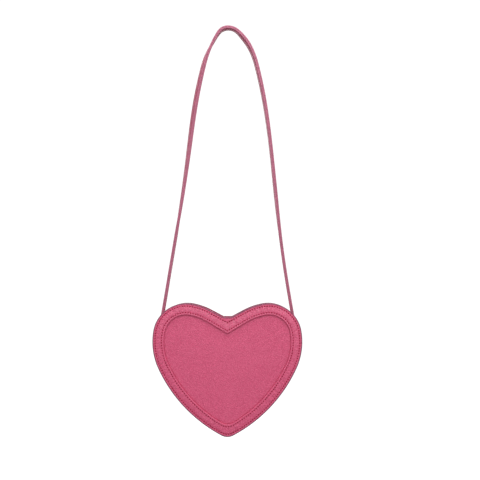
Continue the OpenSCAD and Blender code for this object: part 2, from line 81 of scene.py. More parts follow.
# Rough lengths of the runs of the outline and the zip, for how many parts each is drawn in.
FLANK_RUN, NOTCH_RUN, LOBE_RUN, SEAM_RUN = 28, 19, 47, 25
SIDE_RUN, LOWER_RUN, TIP_RUN, ZIP_NOTCH_RUN, ZIP_LOBE_RUN = 55, 132, 8, 26, 70
# The Mix node's factor, colours and result, among its sockets for all kinds of values.
MIX_FACTOR, MIX_FIRST, MIX_SECOND, MIX_RESULT = 0, 6, 7, 2
# How the border's channel is simulated as cloth, and for how many frames.
CLOTH = {
    "quality": 6, "mass": 0.4, "tension_stiffness": 25.0, "compression_stiffness": 25.0,
    "shear_stiffness": 12.0, "bending_stiffness": 4.0, "shrink_min": -0.012,
    "use_pressure": True, "uniform_pressure_force": 4.0, "vertex_group_mass": "held",
}
CLOTH_FRAMES = 18


class Side(Enum):
    """Which face of the purse a piece belongs to."""

    FRONT = -1
    BACK = 1


# ---------------------------------------------------------------- shader maths


class Value:
    """One output of a shader tree, with arithmetic that adds the nodes."""

    def __init__(self, tree: "Tree", socket: bpy.types.NodeSocket) -> None:
        """Wraps a socket of a tree."""
        self.tree = tree
        self.socket = socket

    def math(self, operation: str, *others: Any) -> "Value":
        """Adds a Math node.

        Args:
            operation: the Math node's operation.
            others: the second value, where the operation has one.

        Returns:
            The node's result.
        """
        sockets = dict(enumerate((self, *others)))
        return self.tree.node("ShaderNodeMath", {"operation": operation}, sockets)

    def __add__(self, other: Any) -> "Value":
        """The sum."""
        return self.math("ADD", other)

    def __sub__(self, other: Any) -> "Value":
        """The difference."""
        return self.math("SUBTRACT", other)

    def __rsub__(self, other: Any) -> "Value":
        """The difference from a plain number."""
        return (self * -1.0).math("ADD", other)

    def __mul__(self, other: Any) -> "Value":
        """The product."""
        return self.math("MULTIPLY", other)

    def __truediv__(self, other: Any) -> "Value":
        """The quotient."""
        return self.math("DIVIDE", other)

    __radd__ = __add__
    __rmul__ = __mul__

    def ramp(self, low: float, high: float) -> "Value":
        """A smooth step from 0 at low to 1 at high.

        Args:
            low: the value that gives 0.
            high: the value that gives 1.

        Returns:
            The step's value.
        """
        settings = {"interpolation_type": "SMOOTHSTEP"}
        sockets = {"Value": self, "From Min": low, "From Max": high}
        return self.tree.node("ShaderNodeMapRange", settings, sockets)

    def part(self, name: str) -> "Value":
        """One of the three parts of a vector."""
        return self.tree.node("ShaderNodeSeparateXYZ", {}, {0: self}, output=name)


class Tree:
    """Makes the nodes of one material."""

    def __init__(self, name: str) -> None:
        """Starts a material with a Principled shader.

        Args:
            name: the material's name.
        """
        self.material = bpy.data.materials.new(name)
        self.material.use_nodes = True
        self.nodes = self.material.node_tree.nodes
        self.links = self.material.node_tree.links
        self.shader = self.nodes["Principled BSDF"]

    def put(self, socket: bpy.types.NodeSocket, value: Any) -> None:
        """Links a value to a socket, or sets it there.

        Args:
            socket: the input.
            value: a number, a colour or another node's output.
        """
        if isinstance(value, Value):
            self.links.new(value.socket, socket)
        else:
            socket.default_value = value

    def node(
        self, kind: str, settings: dict[str, Any], sockets: dict[Any, Any], output: Any = 0,
    ) -> Value:
        """Adds a node.

        Args:
            kind: the node's type.
            settings: its attributes, set first.
            sockets: values or links of its inputs, by name or number.
            output: the name or number of the output that is given back.

        Returns:
            That output.
        """
        made = self.nodes.new(kind)
        for name, value in settings.items():
            setattr(made, name, value)
        for name, value in sockets.items():
            self.put(made.inputs[name], value)
        return Value(self, made.outputs[output])

    def place(self) -> Value:
        """The place on the piece in millimetres.

        Returns:
            The place as a vector.
        """
        spot = self.node("ShaderNodeTexCoord", {}, {}, output="Object")
        sockets = {0: spot, 1: (1.0 / MM,) * 3}
        return self.node("ShaderNodeVectorMath", {"operation": "MULTIPLY"}, sockets)

    def noise(self, at: Value, scale: float, detail: float = 2.0, rough: float = 0.5) -> Value:
        """Noise from 0 to 1 at a place, with a scale in copies per millimetre."""
        sockets = {"Vector": at, "Scale": scale, "Detail": detail, "Roughness": rough}
        return self.node("ShaderNodeTexNoise", {}, sockets, output="Fac")

    def painted(self, name: str) -> Value:
        """A value that the mesh carries on its points."""
        return self.node("ShaderNodeAttribute", {"attribute_name": name}, {}, output="Fac")

    def run(self) -> Value:
        """The place along and across a woven piece, in millimetres."""
        return self.node("ShaderNodeAttribute", {"attribute_name": "run"}, {}, output="Vector")

    def blend(self, share: Any, first: Any, second: Any) -> Value:
        """A colour between two others."""
        sockets = {MIX_FACTOR: share, MIX_FIRST: first, MIX_SECOND: second}
        return self.node("ShaderNodeMix", {"data_type": "RGBA"}, sockets, output=MIX_RESULT)

    def bump(self, height: Value, depth: float) -> Value:
        """A normal from a height of 0 to 1 that stands for a depth in millimetres."""
        sockets = {"Height": height, "Distance": depth * MM, "Strength": 1.0}
        return self.node("ShaderNodeBump", {}, sockets)

    def finish(self, **sockets: Any) -> bpy.types.Material:
        """Sets the shader's own sockets, with spaces in their names as underscores.

        Args:
            sockets: their values or links, by name.

        Returns:
            The material.
        """
        for name, value in sockets.items():
            self.put(self.shader.inputs[name.replace("_", " ")], value)
        return self.material


def shade(colour: Sequence[float], by: float) -> tuple[float, float, float, float]:
    """A colour made lighter or darker by a factor."""
    return (*(min(1.0, c * by) for c in colour[:3]), 1.0)


@dataclass(frozen=True)
class Leather:
    """Dyed leather with a fine pebble grain."""

    name: str = "pebbled_leather"
    slot: str = "leather"
    dark: tuple[float, float, float, float] = (0.500, 0.050, 0.128, 1.0)
    light: tuple[float, float, float, float] = (0.660, 0.118, 0.222, 1.0)
    # Colour of the painted shade in grooves, creases, at stitch holes and along the window's edge.
    groove: tuple[float, float, float, float] = (0.38, 0.012, 0.050, 1.0)
    # Lighter colour for wear and for painted highlights.
    worn_and_lit: tuple[float, float, float, float] = (0.800, 0.200, 0.320, 1.0)
    pebble: float = 1.5
    depth: float = 0.26
    rough: float = 0.42
    warp_scale: float = 0.5
    warp_reach: float = 1.6
    grain_scale: float = 0.95
    cloud_scale: float = 0.028
    patch_scale: float = 0.21
    pebble_edge: tuple[float, float] = (0.12, 0.78)
    tone_range: tuple[float, float] = (0.26, 0.92)
    coat: float = 0.06
    polish: float = 0.85

    def build(self) -> bpy.types.Material:
        """Makes the material.

        Returns:
            The material.
        """
        tree = Tree(self.name)
        at = tree.place()
        warp = {"Vector": at, "Scale": self.warp_scale, "Detail": 2.0}
        bent = tree.node("ShaderNodeTexNoise", {}, warp, output="Color")
        reach = {0: bent, 1: (self.warp_reach,) * 3, 2: at}
        moved = tree.node("ShaderNodeVectorMath", {"operation": "MULTIPLY_ADD"}, reach)
        cells = {
            "Vector": moved, "Scale": 1.0 / self.pebble, "Smoothness": 0.35, "Randomness": 0.85,
        }
        soft = {"feature": "SMOOTH_F1"}
        middle = tree.node("ShaderNodeTexVoronoi", soft, cells, output="Distance")
        pebbles = 1.0 - middle.ramp(*self.pebble_edge)
        fine = tree.noise(at, self.grain_scale, 3.0, 0.60)
        cloud = tree.noise(at, self.cloud_scale, 3.0, 0.55)
        patch = tree.noise(at, self.patch_scale, 2.0)
        tone = pebbles * 0.26 + cloud * 0.08 + patch * 0.04 + fine * 0.72
        body = tree.blend(tone.ramp(*self.tone_range), self.dark, self.light)
        # Wear and painted highlight: a point mark lightens the leather towards the lighter colour.
        worn_and_lit = tree.blend(tree.painted("rub") * 0.5, body, self.worn_and_lit)
        # Painted shade: a point mark darkens the leather to the groove colour where grooves, creases and the
        # window's edge lie in shade.
        shaded = tree.blend(tree.painted("press"), worn_and_lit, self.groove)
        height = pebbles * 0.75 + fine * 0.4
        press = tree.painted("press")
        rough = self.rough + patch * 0.10 - pebbles * 0.07 + press * 0.4
        polished = self.coat + tree.painted("gloss") * self.polish
        coat = polished * (1.0 - press.ramp(0.0, 0.6))
        return tree.finish(
            Base_Color=shaded, Roughness=rough, Normal=tree.bump(height, self.depth),
            Specular_IOR_Level=0.32, Coat_Weight=coat, Coat_Roughness=0.22,
        )


@dataclass(frozen=True)
class EdgePaint:
    """The rubbery paint on cut leather edges."""

    name: str = "edge_paint"
    slot: str = "leather"
    colour: tuple[float, float, float] = (0.210, 0.048, 0.090)
    smear_scale: float = 0.35
    grit_scale: float = 2.2

    def build(self) -> bpy.types.Material:
        """Makes the material.

        Returns:
            The material.
        """
        tree = Tree(self.name)
        at = tree.place()
        smear = tree.noise(at, self.smear_scale, 3.0)
        grit = tree.noise(at, self.grit_scale, 2.0)
        dark, light = shade(self.colour, 0.88), shade(self.colour, 1.12)
        body = tree.blend(smear.ramp(0.3, 0.75), dark, light)
        worn = tree.blend(tree.painted("rub") * 0.35, body, shade(self.colour, 1.5))
        return tree.finish(
            Base_Color=worn, Roughness=0.42 + grit * 0.14, Specular_IOR_Level=0.3,
            Normal=tree.bump(smear * 0.6 + grit * 0.4, 0.06),
        )


@dataclass(frozen=True)
class Thread:
    """Waxed sewing thread."""

    name: str = "sewing_thread"
    slot: str = "leather"
    colour: tuple[float, float, float] = (0.27, 0.004, 0.028)
    ply_scale: float = 7.0
    fuzz_scale: float = 5.0

    def build(self) -> bpy.types.Material:
        """Makes the material.

        Returns:
            The material.
        """
        tree = Tree(self.name)
        at = tree.place()
        ply = (at.part("X") + at.part("Y") * 0.7 + at.part("Z")) * self.ply_scale
        twist = ply.math("SINE") * 0.5 + 0.5
        fuzz = tree.noise(at, self.fuzz_scale, 2.0)
        dark, light = shade(self.colour, 0.75), shade(self.colour, 1.25)
        body = tree.blend(twist * 0.6 + fuzz * 0.4, dark, light)
        return tree.finish(
            Base_Color=body, Roughness=0.55 + fuzz * 0.2,
            Normal=tree.bump(twist, 0.07), Specular_IOR_Level=0.12,
        )


@dataclass(frozen=True)
class Weave:
    """A woven cloth, plain or in a herringbone."""

    name: str
    slot: str
    colour: tuple[float, float, float]
    yarn: float = 0.45
    herringbone: float = 0.0
    fuzz_scale: float = 3.0
    soil_scale: float = 0.05

    def build(self) -> bpy.types.Material:
        """Makes the material.

        Returns:
            The material.
        """
        tree = Tree(self.name)
        at = tree.place()
        if self.herringbone:
            run = tree.run()
            across = run.part("Y")
            zig = (across / self.herringbone).math("PINGPONG", 1.0) * self.herringbone
            wave = ((run.part("X") + zig) * (math.tau / self.yarn)).math("SINE")
            rib = (across * (math.tau / (self.yarn * 1.3))).math("SINE")
            cloth = wave * 0.38 + rib * 0.12 + 0.5
        else:
            warp = (at.part("X") * (math.tau / self.yarn)).math("SINE")
            weft = ((at.part("Z") + at.part("Y")) * (math.tau / self.yarn)).math("SINE")
            cloth = warp * weft * 0.5 + 0.5
        fuzz = tree.noise(at, self.fuzz_scale, 3.0)
        soil = tree.noise(at, self.soil_scale, 3.0)
        tone = cloth * 0.55 + fuzz * 0.2 + soil * 0.25
        body = tree.blend(tone.ramp(0.1, 0.9), shade(self.colour, 0.72), shade(self.colour, 1.15))
        return tree.finish(
            Base_Color=body, Roughness=0.75 + fuzz * 0.2,
            Normal=tree.bump(cloth * 0.8 + fuzz * 0.2, 0.12), Sheen_Weight=0.3, Sheen_Roughness=0.5,
        )


@dataclass(frozen=True)
class Filling:
    """Fibre board or foam inside the purse."""

    name: str
    slot: str
    colour: tuple[float, float, float]
    cell: float
    depth: float

    def build(self) -> bpy.types.Material:
        """Makes the material.

        Returns:
            The material.
        """
        tree = Tree(self.name)
        at = tree.place()
        fleck = tree.noise(at, 1.0 / self.cell, 4.0, 0.65)
        cloud = tree.noise(at, 0.06, 2.0)
        tone = fleck * 0.7 + cloud * 0.3
        body = tree.blend(tone.ramp(0.25, 0.75), shade(self.colour, 0.8), shade(self.colour, 1.1))
        return tree.finish(
            Base_Color=body, Roughness=0.8 + fleck * 0.15, Normal=tree.bump(fleck, self.depth),
        )


@dataclass(frozen=True)
class ZipMetal:
    """Plated zip metal, polished and lightly handled."""

    name: str = "zip_metal"
    slot: str = "zip_metal"
    colour: tuple[float, float, float] = (0.87, 0.66, 0.36)

    def build(self) -> bpy.types.Material:
        """Makes the material.

        Returns:
            The material.
        """
        tree = Tree(self.name)
        at = tree.place()
        smudge = tree.noise(at, 0.25, 3.0, 0.6)
        brushed = {"Vector": at, "Scale": 0.9, "Detail": 3.0, "Distortion": 1.5}
        hair = tree.node("ShaderNodeTexNoise", {}, brushed, output="Fac")
        body = tree.blend(smudge.ramp(0.3, 0.7), shade(self.colour, 0.9), shade(self.colour, 1.06))
        return tree.finish(
            Base_Color=body, Metallic=1.0, Roughness=0.17 + smudge * 0.16,
            Normal=tree.bump(hair, 0.012),
        )


@dataclass(frozen=True)
class Paper:
    """The pale sweep behind and below the purse."""

    name: str = "pale_sweep"
    glow: float = 0.93

    def build(self) -> bpy.types.Material:
        """Makes the material.

        Returns:
            The material.
        """
        tree = Tree(self.name)
        fleck = tree.noise(tree.place(), 0.4, 2.0)
        body = tree.blend(fleck, (0.20, 0.20, 0.20, 1.0), (0.22, 0.22, 0.22, 1.0))
        return tree.finish(
            Base_Color=body, Roughness=0.95, Emission_Color=(1.0, 1.0, 1.0, 1.0),
            Emission_Strength=self.glow, Specular_IOR_Level=0.1,
        )


Finish = Leather | EdgePaint | Thread | Weave | Filling | ZipMetal | Paper
LEATHER = Leather()
PAINT = EdgePaint()
STRAP_PAINT = EdgePaint("strap_edge_paint", "leather", (0.37, 0.108, 0.170))
# The strap's leather: a darker copy of the body's leather, with a darker groove colour.
STRAP_LEATHER = Leather(
    "strap_leather", dark=(0.345, 0.040, 0.097, 1.0), light=(0.465, 0.090, 0.162, 1.0),
    groove=(0.28, 0.020, 0.052, 1.0),
)
THREAD = Thread()
STRAP_THREAD = Thread("strap_thread", colour=(0.25, 0.020, 0.058))
METAL = ZipMetal()
TAPE = Weave("zip_tape_cloth", "zip_tape", (0.40, 0.062, 0.128), 0.9, 2.2)
LINING = Weave("lining_cloth", "lining", (0.66, 0.36, 0.41))
BOARD = Filling("fibre_board", "board", (0.45, 0.42, 0.36), 1.2, 0.1)
FOAM = Filling("pad_foam", "foam", (0.85, 0.80, 0.70), 0.6, 0.2)
_made: dict[str, bpy.types.Material] = {}


def material(finish: Finish) -> bpy.types.Material:
    """The material of a finish, made once.

    Args:
        finish: the finish.

    Returns:
        Its material.
    """
    if finish.name not in _made:
        _made[finish.name] = finish.build()
    return _made[finish.name]


# ---------------------------------------------------------------- lines


def direction(angle: float) -> np.ndarray:
    """Unit vector at an angle in degrees."""
    turn = math.radians(angle)
    return np.array([math.cos(turn), math.sin(turn)])


def bearing(vector: np.ndarray) -> float:
    """Angle of a vector in degrees."""
    return math.degrees(math.atan2(vector[1], vector[0]))


def arc(centre: np.ndarray, radius: float, start: float, end: float, count: int) -> np.ndarray:
    """Points along an arc.

    Args:
        centre: its centre.
        radius: its radius.
        start: the first angle in degrees.
        end: the last angle.
        count: how many parts it is drawn in.

    Returns:
        The count + 1 points.
    """
    turns = np.radians(np.linspace(start, end, count + 1))
    return np.asarray(centre) + radius * np.stack([np.cos(turns), np.sin(turns)], 1)


def crossing(c0: np.ndarray, r0: float, c1: np.ndarray, r1: float) -> np.ndarray:
    """The crossing of two circles on the right of the line between their centres.

    Args:
        c0: centre of the first circle.
        r0: its radius.
        c1: centre of the second circle.
        r1: its radius.

    Returns:
        The point.
    """
    gap = float(np.linalg.norm(c1 - c0))
    along = (r0 * r0 - r1 * r1 + gap * gap) / (2 * gap)
    off = math.sqrt(r0 * r0 - along * along)
    way = (c1 - c0) / gap
    return c0 + along * way + off * np.array([way[1], -way[0]])


def lengths(points: np.ndarray) -> np.ndarray:
    """Distance along a line of points, from its first."""
    steps = np.linalg.norm(np.diff(points, axis=0), axis=1)
    return np.concatenate([[0.0], np.cumsum(steps)])


def read_off(points: np.ndarray, run: np.ndarray, at: np.ndarray) -> np.ndarray:
    """The values that a line has at given places, where its points stand at the places of run."""
    return np.stack([np.interp(at, run, points[:, k]) for k in range(points.shape[1])], 1)


def resample(points: np.ndarray, at: np.ndarray) -> np.ndarray:
    """The points of a line at given distances along it."""
    return read_off(points, lengths(points), at)


def through(count: int, sign: float) -> np.ndarray:
    """The way through the purse along Y, at each of a number of stations."""
    return np.tile([0.0, sign, 0.0], (count, 1))


def upright(flat: np.ndarray) -> np.ndarray:
    """Points or ways in the heart's plane as points or ways in space."""
    return np.stack([flat[:, 0], np.zeros(len(flat)), flat[:, 1]], 1)


def twin(points: np.ndarray) -> np.ndarray:
    """The left twin of a line on the right."""
    return points * np.array([-1.0] + [1.0] * (points.shape[1] - 1))


def evened(values: np.ndarray, times: int) -> np.ndarray:
    """Values along a line, each drawn towards its neighbours a number of times.

    Args:
        values: numbers or points in their order.
        times: how often.

    Returns:
        The new values.
    """
    values = values.copy()
    for _ in range(times):
        values[1:-1] = (values[:-2] + values[1:-1] * 2 + values[2:]) / 4
    return values


def smooth(x: Any) -> Any:
    """A smooth step from 0 to 1."""
    x = np.clip(x, 0.0, 1.0)
    return x * x * (3.0 - 2.0 * x)


def bell(x: Any, width: float) -> Any:
    """A bell of height 1 about 0."""
    return np.exp(-((np.asarray(x) / width) ** 2))


def ripple(s: np.ndarray, lap: float, wave: float, seed: int) -> np.ndarray:
    """Soft random waves along a closed line.

    Args:
        s: distance along the line.
        lap: the line's whole length.
        wave: the usual length of one wave.
        seed: picks the waves.

    Returns:
        Heights of about -1 to 1.
    """
    rng = np.random.default_rng(seed)
    middle = max(2, int(lap / wave))
    total = np.zeros_like(s)
    for k in range(max(1, middle // 2), middle * 2, max(1, middle // 6)):
        total += rng.normal() * np.sin(2 * math.pi * k * s / lap + rng.uniform(0, 2 * math.pi))
    return total / max(1e-6, float(np.abs(total).max()))


def lift(plan: np.ndarray, depth: Any) -> np.ndarray:
    """Points of the heart's plan at a depth, in the frame's metres."""
    y = np.broadcast_to(np.asarray(depth, float), plan.shape[:-1])
    return np.stack([plan[..., 0], y, plan[..., 1] + TIP], -1) * MM


@dataclass(frozen=True)
class HeartPlan:
    """The heart's outline and the line of its wall and zip, in millimetres from the tip."""

    width: float = 210.0
    height: float = 187.0
    lobe_r: float = 46.0
    lobe_side: float = 10.0
    lobe_flank: float = 101.0
    flank_r: float = 96.0
    slope: float = 28.0
    slope_gain: float = 3.0
    bridge: float = 12.0
    side_r: float = 90.0
    lower_r: float = 202.0
    tip_r: float = 17.5
    border: float = 16.0
    rim: float = 7.0
    zip_r: float = 50.0
    zip_top: float = 7.5
    zip_notch: float = 7.0
    zip_shift: float = 4.0
    step: float = 2.4

    @cached_property
    def lobe_c(self) -> np.ndarray:
        """Centre of the right lobe."""
        lean = math.cos(math.radians(self.lobe_side))
        x = self.width / 2 - self.side_r + (self.side_r - self.lobe_r) * lean
        return np.array([x, self.height - self.lobe_r])

    @cached_property
    def side_c(self) -> np.ndarray:
        """Centre of the side's arc."""
        return self.lobe_c + (self.lobe_r - self.side_r) * direction(self.lobe_side)

    @cached_property
    def flank_c(self) -> np.ndarray:
        """Centre of the flank's arc."""
        return self.lobe_c + (self.lobe_r - self.flank_r) * direction(self.lobe_flank)

    @cached_property
    def lower_c(self) -> np.ndarray:
        """Centre of the long lower arc."""
        tip = np.array([0.0, self.tip_r])
        return crossing(self.side_c, self.lower_r - self.side_r, tip, self.lower_r - self.tip_r)

    @cached_property
    def side_end(self) -> float:
        """Angle where the side passes into the lower arc."""
        return bearing(self.side_c - self.lower_c)

    @cached_property
    def zip_c(self) -> np.ndarray:
        """Centre of the zip's arc over the right lobe."""
        return np.array([self.lobe_c[0] - self.zip_shift, self.height - self.zip_top - self.zip_r])

    @cached_property
    def dip(self) -> tuple[np.ndarray, float, float]:
        """Centre and radius of the zip's arc in the notch, and where the lobe's arc begins."""
        low = self.level(0.0) - self.zip_notch
        down = low - self.zip_c[1]
        r = (self.zip_c[0] ** 2 + down ** 2 - self.zip_r ** 2) / (2 * (self.zip_r - down))
        centre = np.array([0.0, low + r])
        return centre, float(r), bearing(centre - self.zip_c)

    def seam(self, d: float) -> np.ndarray:
        """Where the zip section meets the bottom gusset, at an inset from the wall."""
        return crossing(self.zip_c, self.zip_r - d, self.lobe_c, self.lobe_r - self.rim - d)

    def tip_c(self, t: float) -> np.ndarray:
        """Centre of the tip's arc at an inset."""
        reach = self.lower_r - t - self.tip_r
        return np.array([0.0, self.lower_c[1] - math.sqrt(reach ** 2 - self.lower_c[0] ** 2)])

    def tilt(self, t: float) -> float:
        """Slope of the run into the notch at an inset, in degrees."""
        return self.slope + self.slope_gain * t / self.border

    def apex(self, t: float) -> float:
        """Height where the two runs into the notch would meet."""
        p = arc(self.flank_c, self.flank_r - t, 90 + self.tilt(t), 90 + self.tilt(t), 1)[0]
        return float(p[1] - p[0] * math.tan(math.radians(self.tilt(t))))

    def level(self, t: float) -> float:
        """Height of the flat cut across the notch at an inset."""
        return self.apex(t) + self.bridge / 2 * math.tan(math.radians(self.tilt(t)))

    def parts(self, run: float) -> int:
        """How many parts a run is drawn in."""
        return max(2, math.ceil(abs(run) / self.step))

    def top(self, t: float, sharp: float = 3.0) -> np.ndarray:
        """Right half of the outline at an inset, from the notch to the zip's seam.

        Args:
            t: the inset.
            sharp: the inset at which the flat cut has become a V.

        Returns:
            The points.
        """
        half = self.bridge / 2
        turned, parts = 90 + self.tilt(t), self.parts(FLANK_RUN)
        flank = arc(self.flank_c, self.flank_r - t, turned, self.lobe_flank, parts)
        slope = np.linspace(half, flank[0][0], self.parts(NOTCH_RUN) + 1)[1:-1]
        xs = np.concatenate([np.linspace(0, half, 4), slope])
        zs = self.apex(t) + xs * math.tan(math.radians(self.tilt(t)))
        fill = np.maximum(self.level(0.0) - t - zs, 0.0) * (1.0 - smooth(t / sharp))
        zs = zs + np.where(xs <= half, fill, 0.0)
        seam = bearing(self.seam(0.0) - self.lobe_c)
        lobe = arc(self.lobe_c, self.lobe_r - t, self.lobe_flank, seam, self.parts(LOBE_RUN))
        return np.concatenate([np.stack([xs, zs], 1), flank, lobe[1:]])

    def low(self, t: float) -> np.ndarray:
        """Right half of the outline at an inset, from the zip's seam to the tip.

        Args:
            t: the inset.

        Returns:
            The points.
        """
        start = bearing(self.seam(max(0.0, t - self.rim)) - self.lobe_c)
        tip = self.tip_c(t)
        turn = bearing(tip - self.lower_c)
        side_parts = self.parts(SIDE_RUN)
        return np.concatenate([
            arc(self.lobe_c, self.lobe_r - t, start, self.lobe_side, self.parts(SEAM_RUN)),
            arc(self.side_c, self.side_r - t, self.lobe_side, self.side_end, side_parts)[1:],
            arc(self.lower_c, self.lower_r - t, self.side_end, turn, self.parts(LOWER_RUN))[1:],
            arc(tip, self.tip_r, turn, -90.0, self.parts(TIP_RUN))[1:],
        ])

    def loop(self, t: float, sharp: float = 3.0) -> np.ndarray:
        """The whole outline at an inset, from the notch round the right side."""
        half = np.concatenate([self.top(t, sharp), self.low(t)[1:]])
        return np.concatenate([half, twin(half)[-2:0:-1]])

    def round_tip(self, t: float) -> np.ndarray:
        """The outline at an inset from the right seam round the tip to the left one."""
        half = self.low(t)
        return np.concatenate([half, twin(half)[-2::-1]])

    def zip_line(self, d: float) -> np.ndarray:
        """The zip's line at an inset, from the left seam to the right one.

        Args:
            d: the inset.

        Returns:
            The points.
        """
        centre, r, join = self.dip
        end = bearing(self.seam(d) - self.zip_c)
        right = np.concatenate([
            arc(centre, r + d, -90.0, join - 180.0, self.parts(ZIP_NOTCH_RUN)),
            arc(self.zip_c, self.zip_r - d, join, end, self.parts(ZIP_LOBE_RUN))[1:],
        ])
        return np.concatenate([twin(right)[:0:-1], right])

    def over_top(self, t: float) -> np.ndarray:
        """The outline at an inset over the notch, with as many points as the zip's line.

        Args:
            t: the inset.

        Returns:
            The points.
        """
        right = self.top(t)
        line = np.concatenate([twin(right)[:0:-1], right])
        run = lengths(self.zip_line(0.0))
        return resample(line, run / run[-1] * lengths(line)[-1])


# ---------------------------------------------------------------- meshes


class Shell:
    """Points and faces of one piece while it is made."""

    def __init__(self) -> None:
        """Starts with nothing."""
        self.points: list[np.ndarray] = []
        self.faces: list[tuple[int, ...]] = []
        self.paint: list[int] = []
        self.marks: dict[str, list[np.ndarray]] = {"press": [], "rub": [], "gloss": [], "run": []}
        self.count = 0

    def grid(
        self,
        points: np.ndarray,
        closed: tuple[bool, bool] = (False, True),
        paint: Sequence[int] | None = None,
        press: np.ndarray | None = None,
        rub: np.ndarray | None = None,
        gloss: np.ndarray | None = None,
        run: np.ndarray | None = None,
        caps: bool = False,
    ) -> None:
        """Adds a net of points.

        Args:
            points: rows by columns by three, in metres.
            closed: whether the rows and the columns close on themselves.
            paint: the finish of the faces after each column, by number.
            press: how much painted shade each point has, 0 to 1.
            rub: how much each point is lightened for wear and painted highlight, 0 to 1.
            gloss: how much each point is polished, 0 to 1.
            run: place along and across the piece in millimetres.
            caps: whether the first and last rows are closed by one face.
        """
        rows, cols = points.shape[:2]
        ids = np.arange(rows * cols).reshape(rows, cols) + self.count
        for i in range(rows if closed[0] else rows - 1):
            a, b = ids[i], ids[(i + 1) % rows]
            for k in range(cols if closed[1] else cols - 1):
                m = (k + 1) % cols
                self.faces.append((int(a[k]), int(b[k]), int(b[m]), int(a[m])))
                self.paint.append(paint[k] if paint is not None else 0)
        if caps:
            for row in (ids[0], ids[-1]):
                self.faces.append(tuple(int(v) for v in row))
                self.paint.append(paint[0] if paint is not None else 0)
        self.points.append(points.reshape(-1, 3))
        for name, given in (("press", press), ("rub", rub), ("gloss", gloss), ("run", run)):
            width = 3 if name == "run" else 1
            values = np.zeros((rows * cols, width)) if given is None else np.asarray(given, float)
            self.marks[name].append(values.reshape(rows * cols, width))
        self.count += rows * cols

    def mesh(self, name: str) -> bpy.types.Mesh:
        """The plain mesh of all that was added.

        Args:
            name: the mesh's name.

        Returns:
            The mesh.
        """
        made = bpy.data.meshes.new(name)
        made.from_pydata(np.concatenate(self.points).tolist(), [], self.faces)
        return made

    def make(
        self, name: str, finishes: Sequence[Finish], body: str,
        replaces: Sequence[str] = (), crease: float = CREASE,
    ) -> bpy.types.Object:
        """Turns the shell into a piece that rides on a body.

        Args:
            name: the piece's name.
            finishes: its finishes, in the order of the paint numbers.
            body: the body that it moves with.
            replaces: the nodes that it stands for.
            crease: the angle past which an edge stays sharp, in degrees.

        Returns:
            The piece.
        """
        mesh = self.mesh(name)
        mesh.polygons.foreach_set("material_index", self.paint)
        for mark, parts in self.marks.items():
            values = np.concatenate(parts)
            if not values.any():
                continue
            kind, field = ("FLOAT_VECTOR", "vector") if mark == "run" else ("FLOAT", "value")
            layer = mesh.attributes.new(mark, kind, "POINT")
            layer.data.foreach_set(field, values.ravel().astype(np.float32))
        tidy(mesh, JOIN)
        return piece(name, mesh, finishes, body, replaces, crease)


def tidy(mesh: bpy.types.Mesh, merge: float) -> None:
    """Joins doubled points, drops empty faces and turns all faces outwards.

    Args:
        mesh: the mesh, which is changed in place.
        merge: how near points are joined.
    """
    work = bmesh.new()
    work.from_mesh(mesh)
    bmesh.ops.remove_doubles(work, verts=work.verts, dist=merge)
    bmesh.ops.dissolve_degenerate(work, edges=work.edges, dist=merge)
    bmesh.ops.recalc_face_normals(work, faces=work.faces)
    work.to_mesh(mesh)
    work.free()


def added(name: str, data: bpy.types.ID) -> bpy.types.Object:
    """A new object in the scene that shows a mesh, a curve, a light or a camera.

    Args:
        name: the object's name.
        data: what it shows.

    Returns:
        The object.
    """
    made = bpy.data.objects.new(name, data)
    bpy.context.scene.collection.objects.link(made)
    return made


def piece(
    name: str, mesh: bpy.types.Mesh, finishes: Sequence[Finish], body: str,
    replaces: Sequence[str] = (), crease: float = CREASE,
) -> bpy.types.Object:
    """Makes an object of a mesh and gives it its finishes, its body and its nodes.

    Args:
        name: the piece's name.
        mesh: its mesh, in place.
        finishes: its finishes.
        body: the body that it moves with.
        replaces: the nodes that it stands for.
        crease: the angle past which an edge stays sharp, in degrees.

    Returns:
        The piece.
    """
    mesh.name = name
    # Clearing also sets the faces' finish numbers to 0, so an empty list is left alone.
    if mesh.materials:
        mesh.materials.clear()
    for finish in finishes:
        mesh.materials.append(material(finish))
    mesh.polygons.foreach_set("use_smooth", [True] * len(mesh.polygons))
    mesh.set_sharp_from_angle(angle=math.radians(crease))
    made = added(name, mesh)
    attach(made, body)
    if replaces:
        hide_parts(*replaces)
    log.info("%s: %d faces on %s", name, len(mesh.polygons), body)
    return made


def evaluated(source: bpy.types.Object) -> bpy.types.Mesh:
    """The plain mesh of an object with its modifiers, which is then removed.

    Args:
        source: the object, which is removed.

    Returns:
        The mesh.
    """
    bpy.context.view_layer.update()
    graph = bpy.context.evaluated_depsgraph_get()
    mesh = bpy.data.meshes.new_from_object(source.evaluated_get(graph))
    bpy.data.objects.remove(source)
    return mesh


def joined(meshes: Sequence[bpy.types.Mesh]) -> bpy.types.Mesh:
    """Several meshes as one, with the material numbers kept.

    Args:
        meshes: the meshes.

    Returns:
        The new mesh.
    """
    work = bmesh.new()
    for mesh in meshes:
        work.from_mesh(mesh)
    made = bpy.data.meshes.new("joined")
    work.to_mesh(made)
    work.free()
    return made


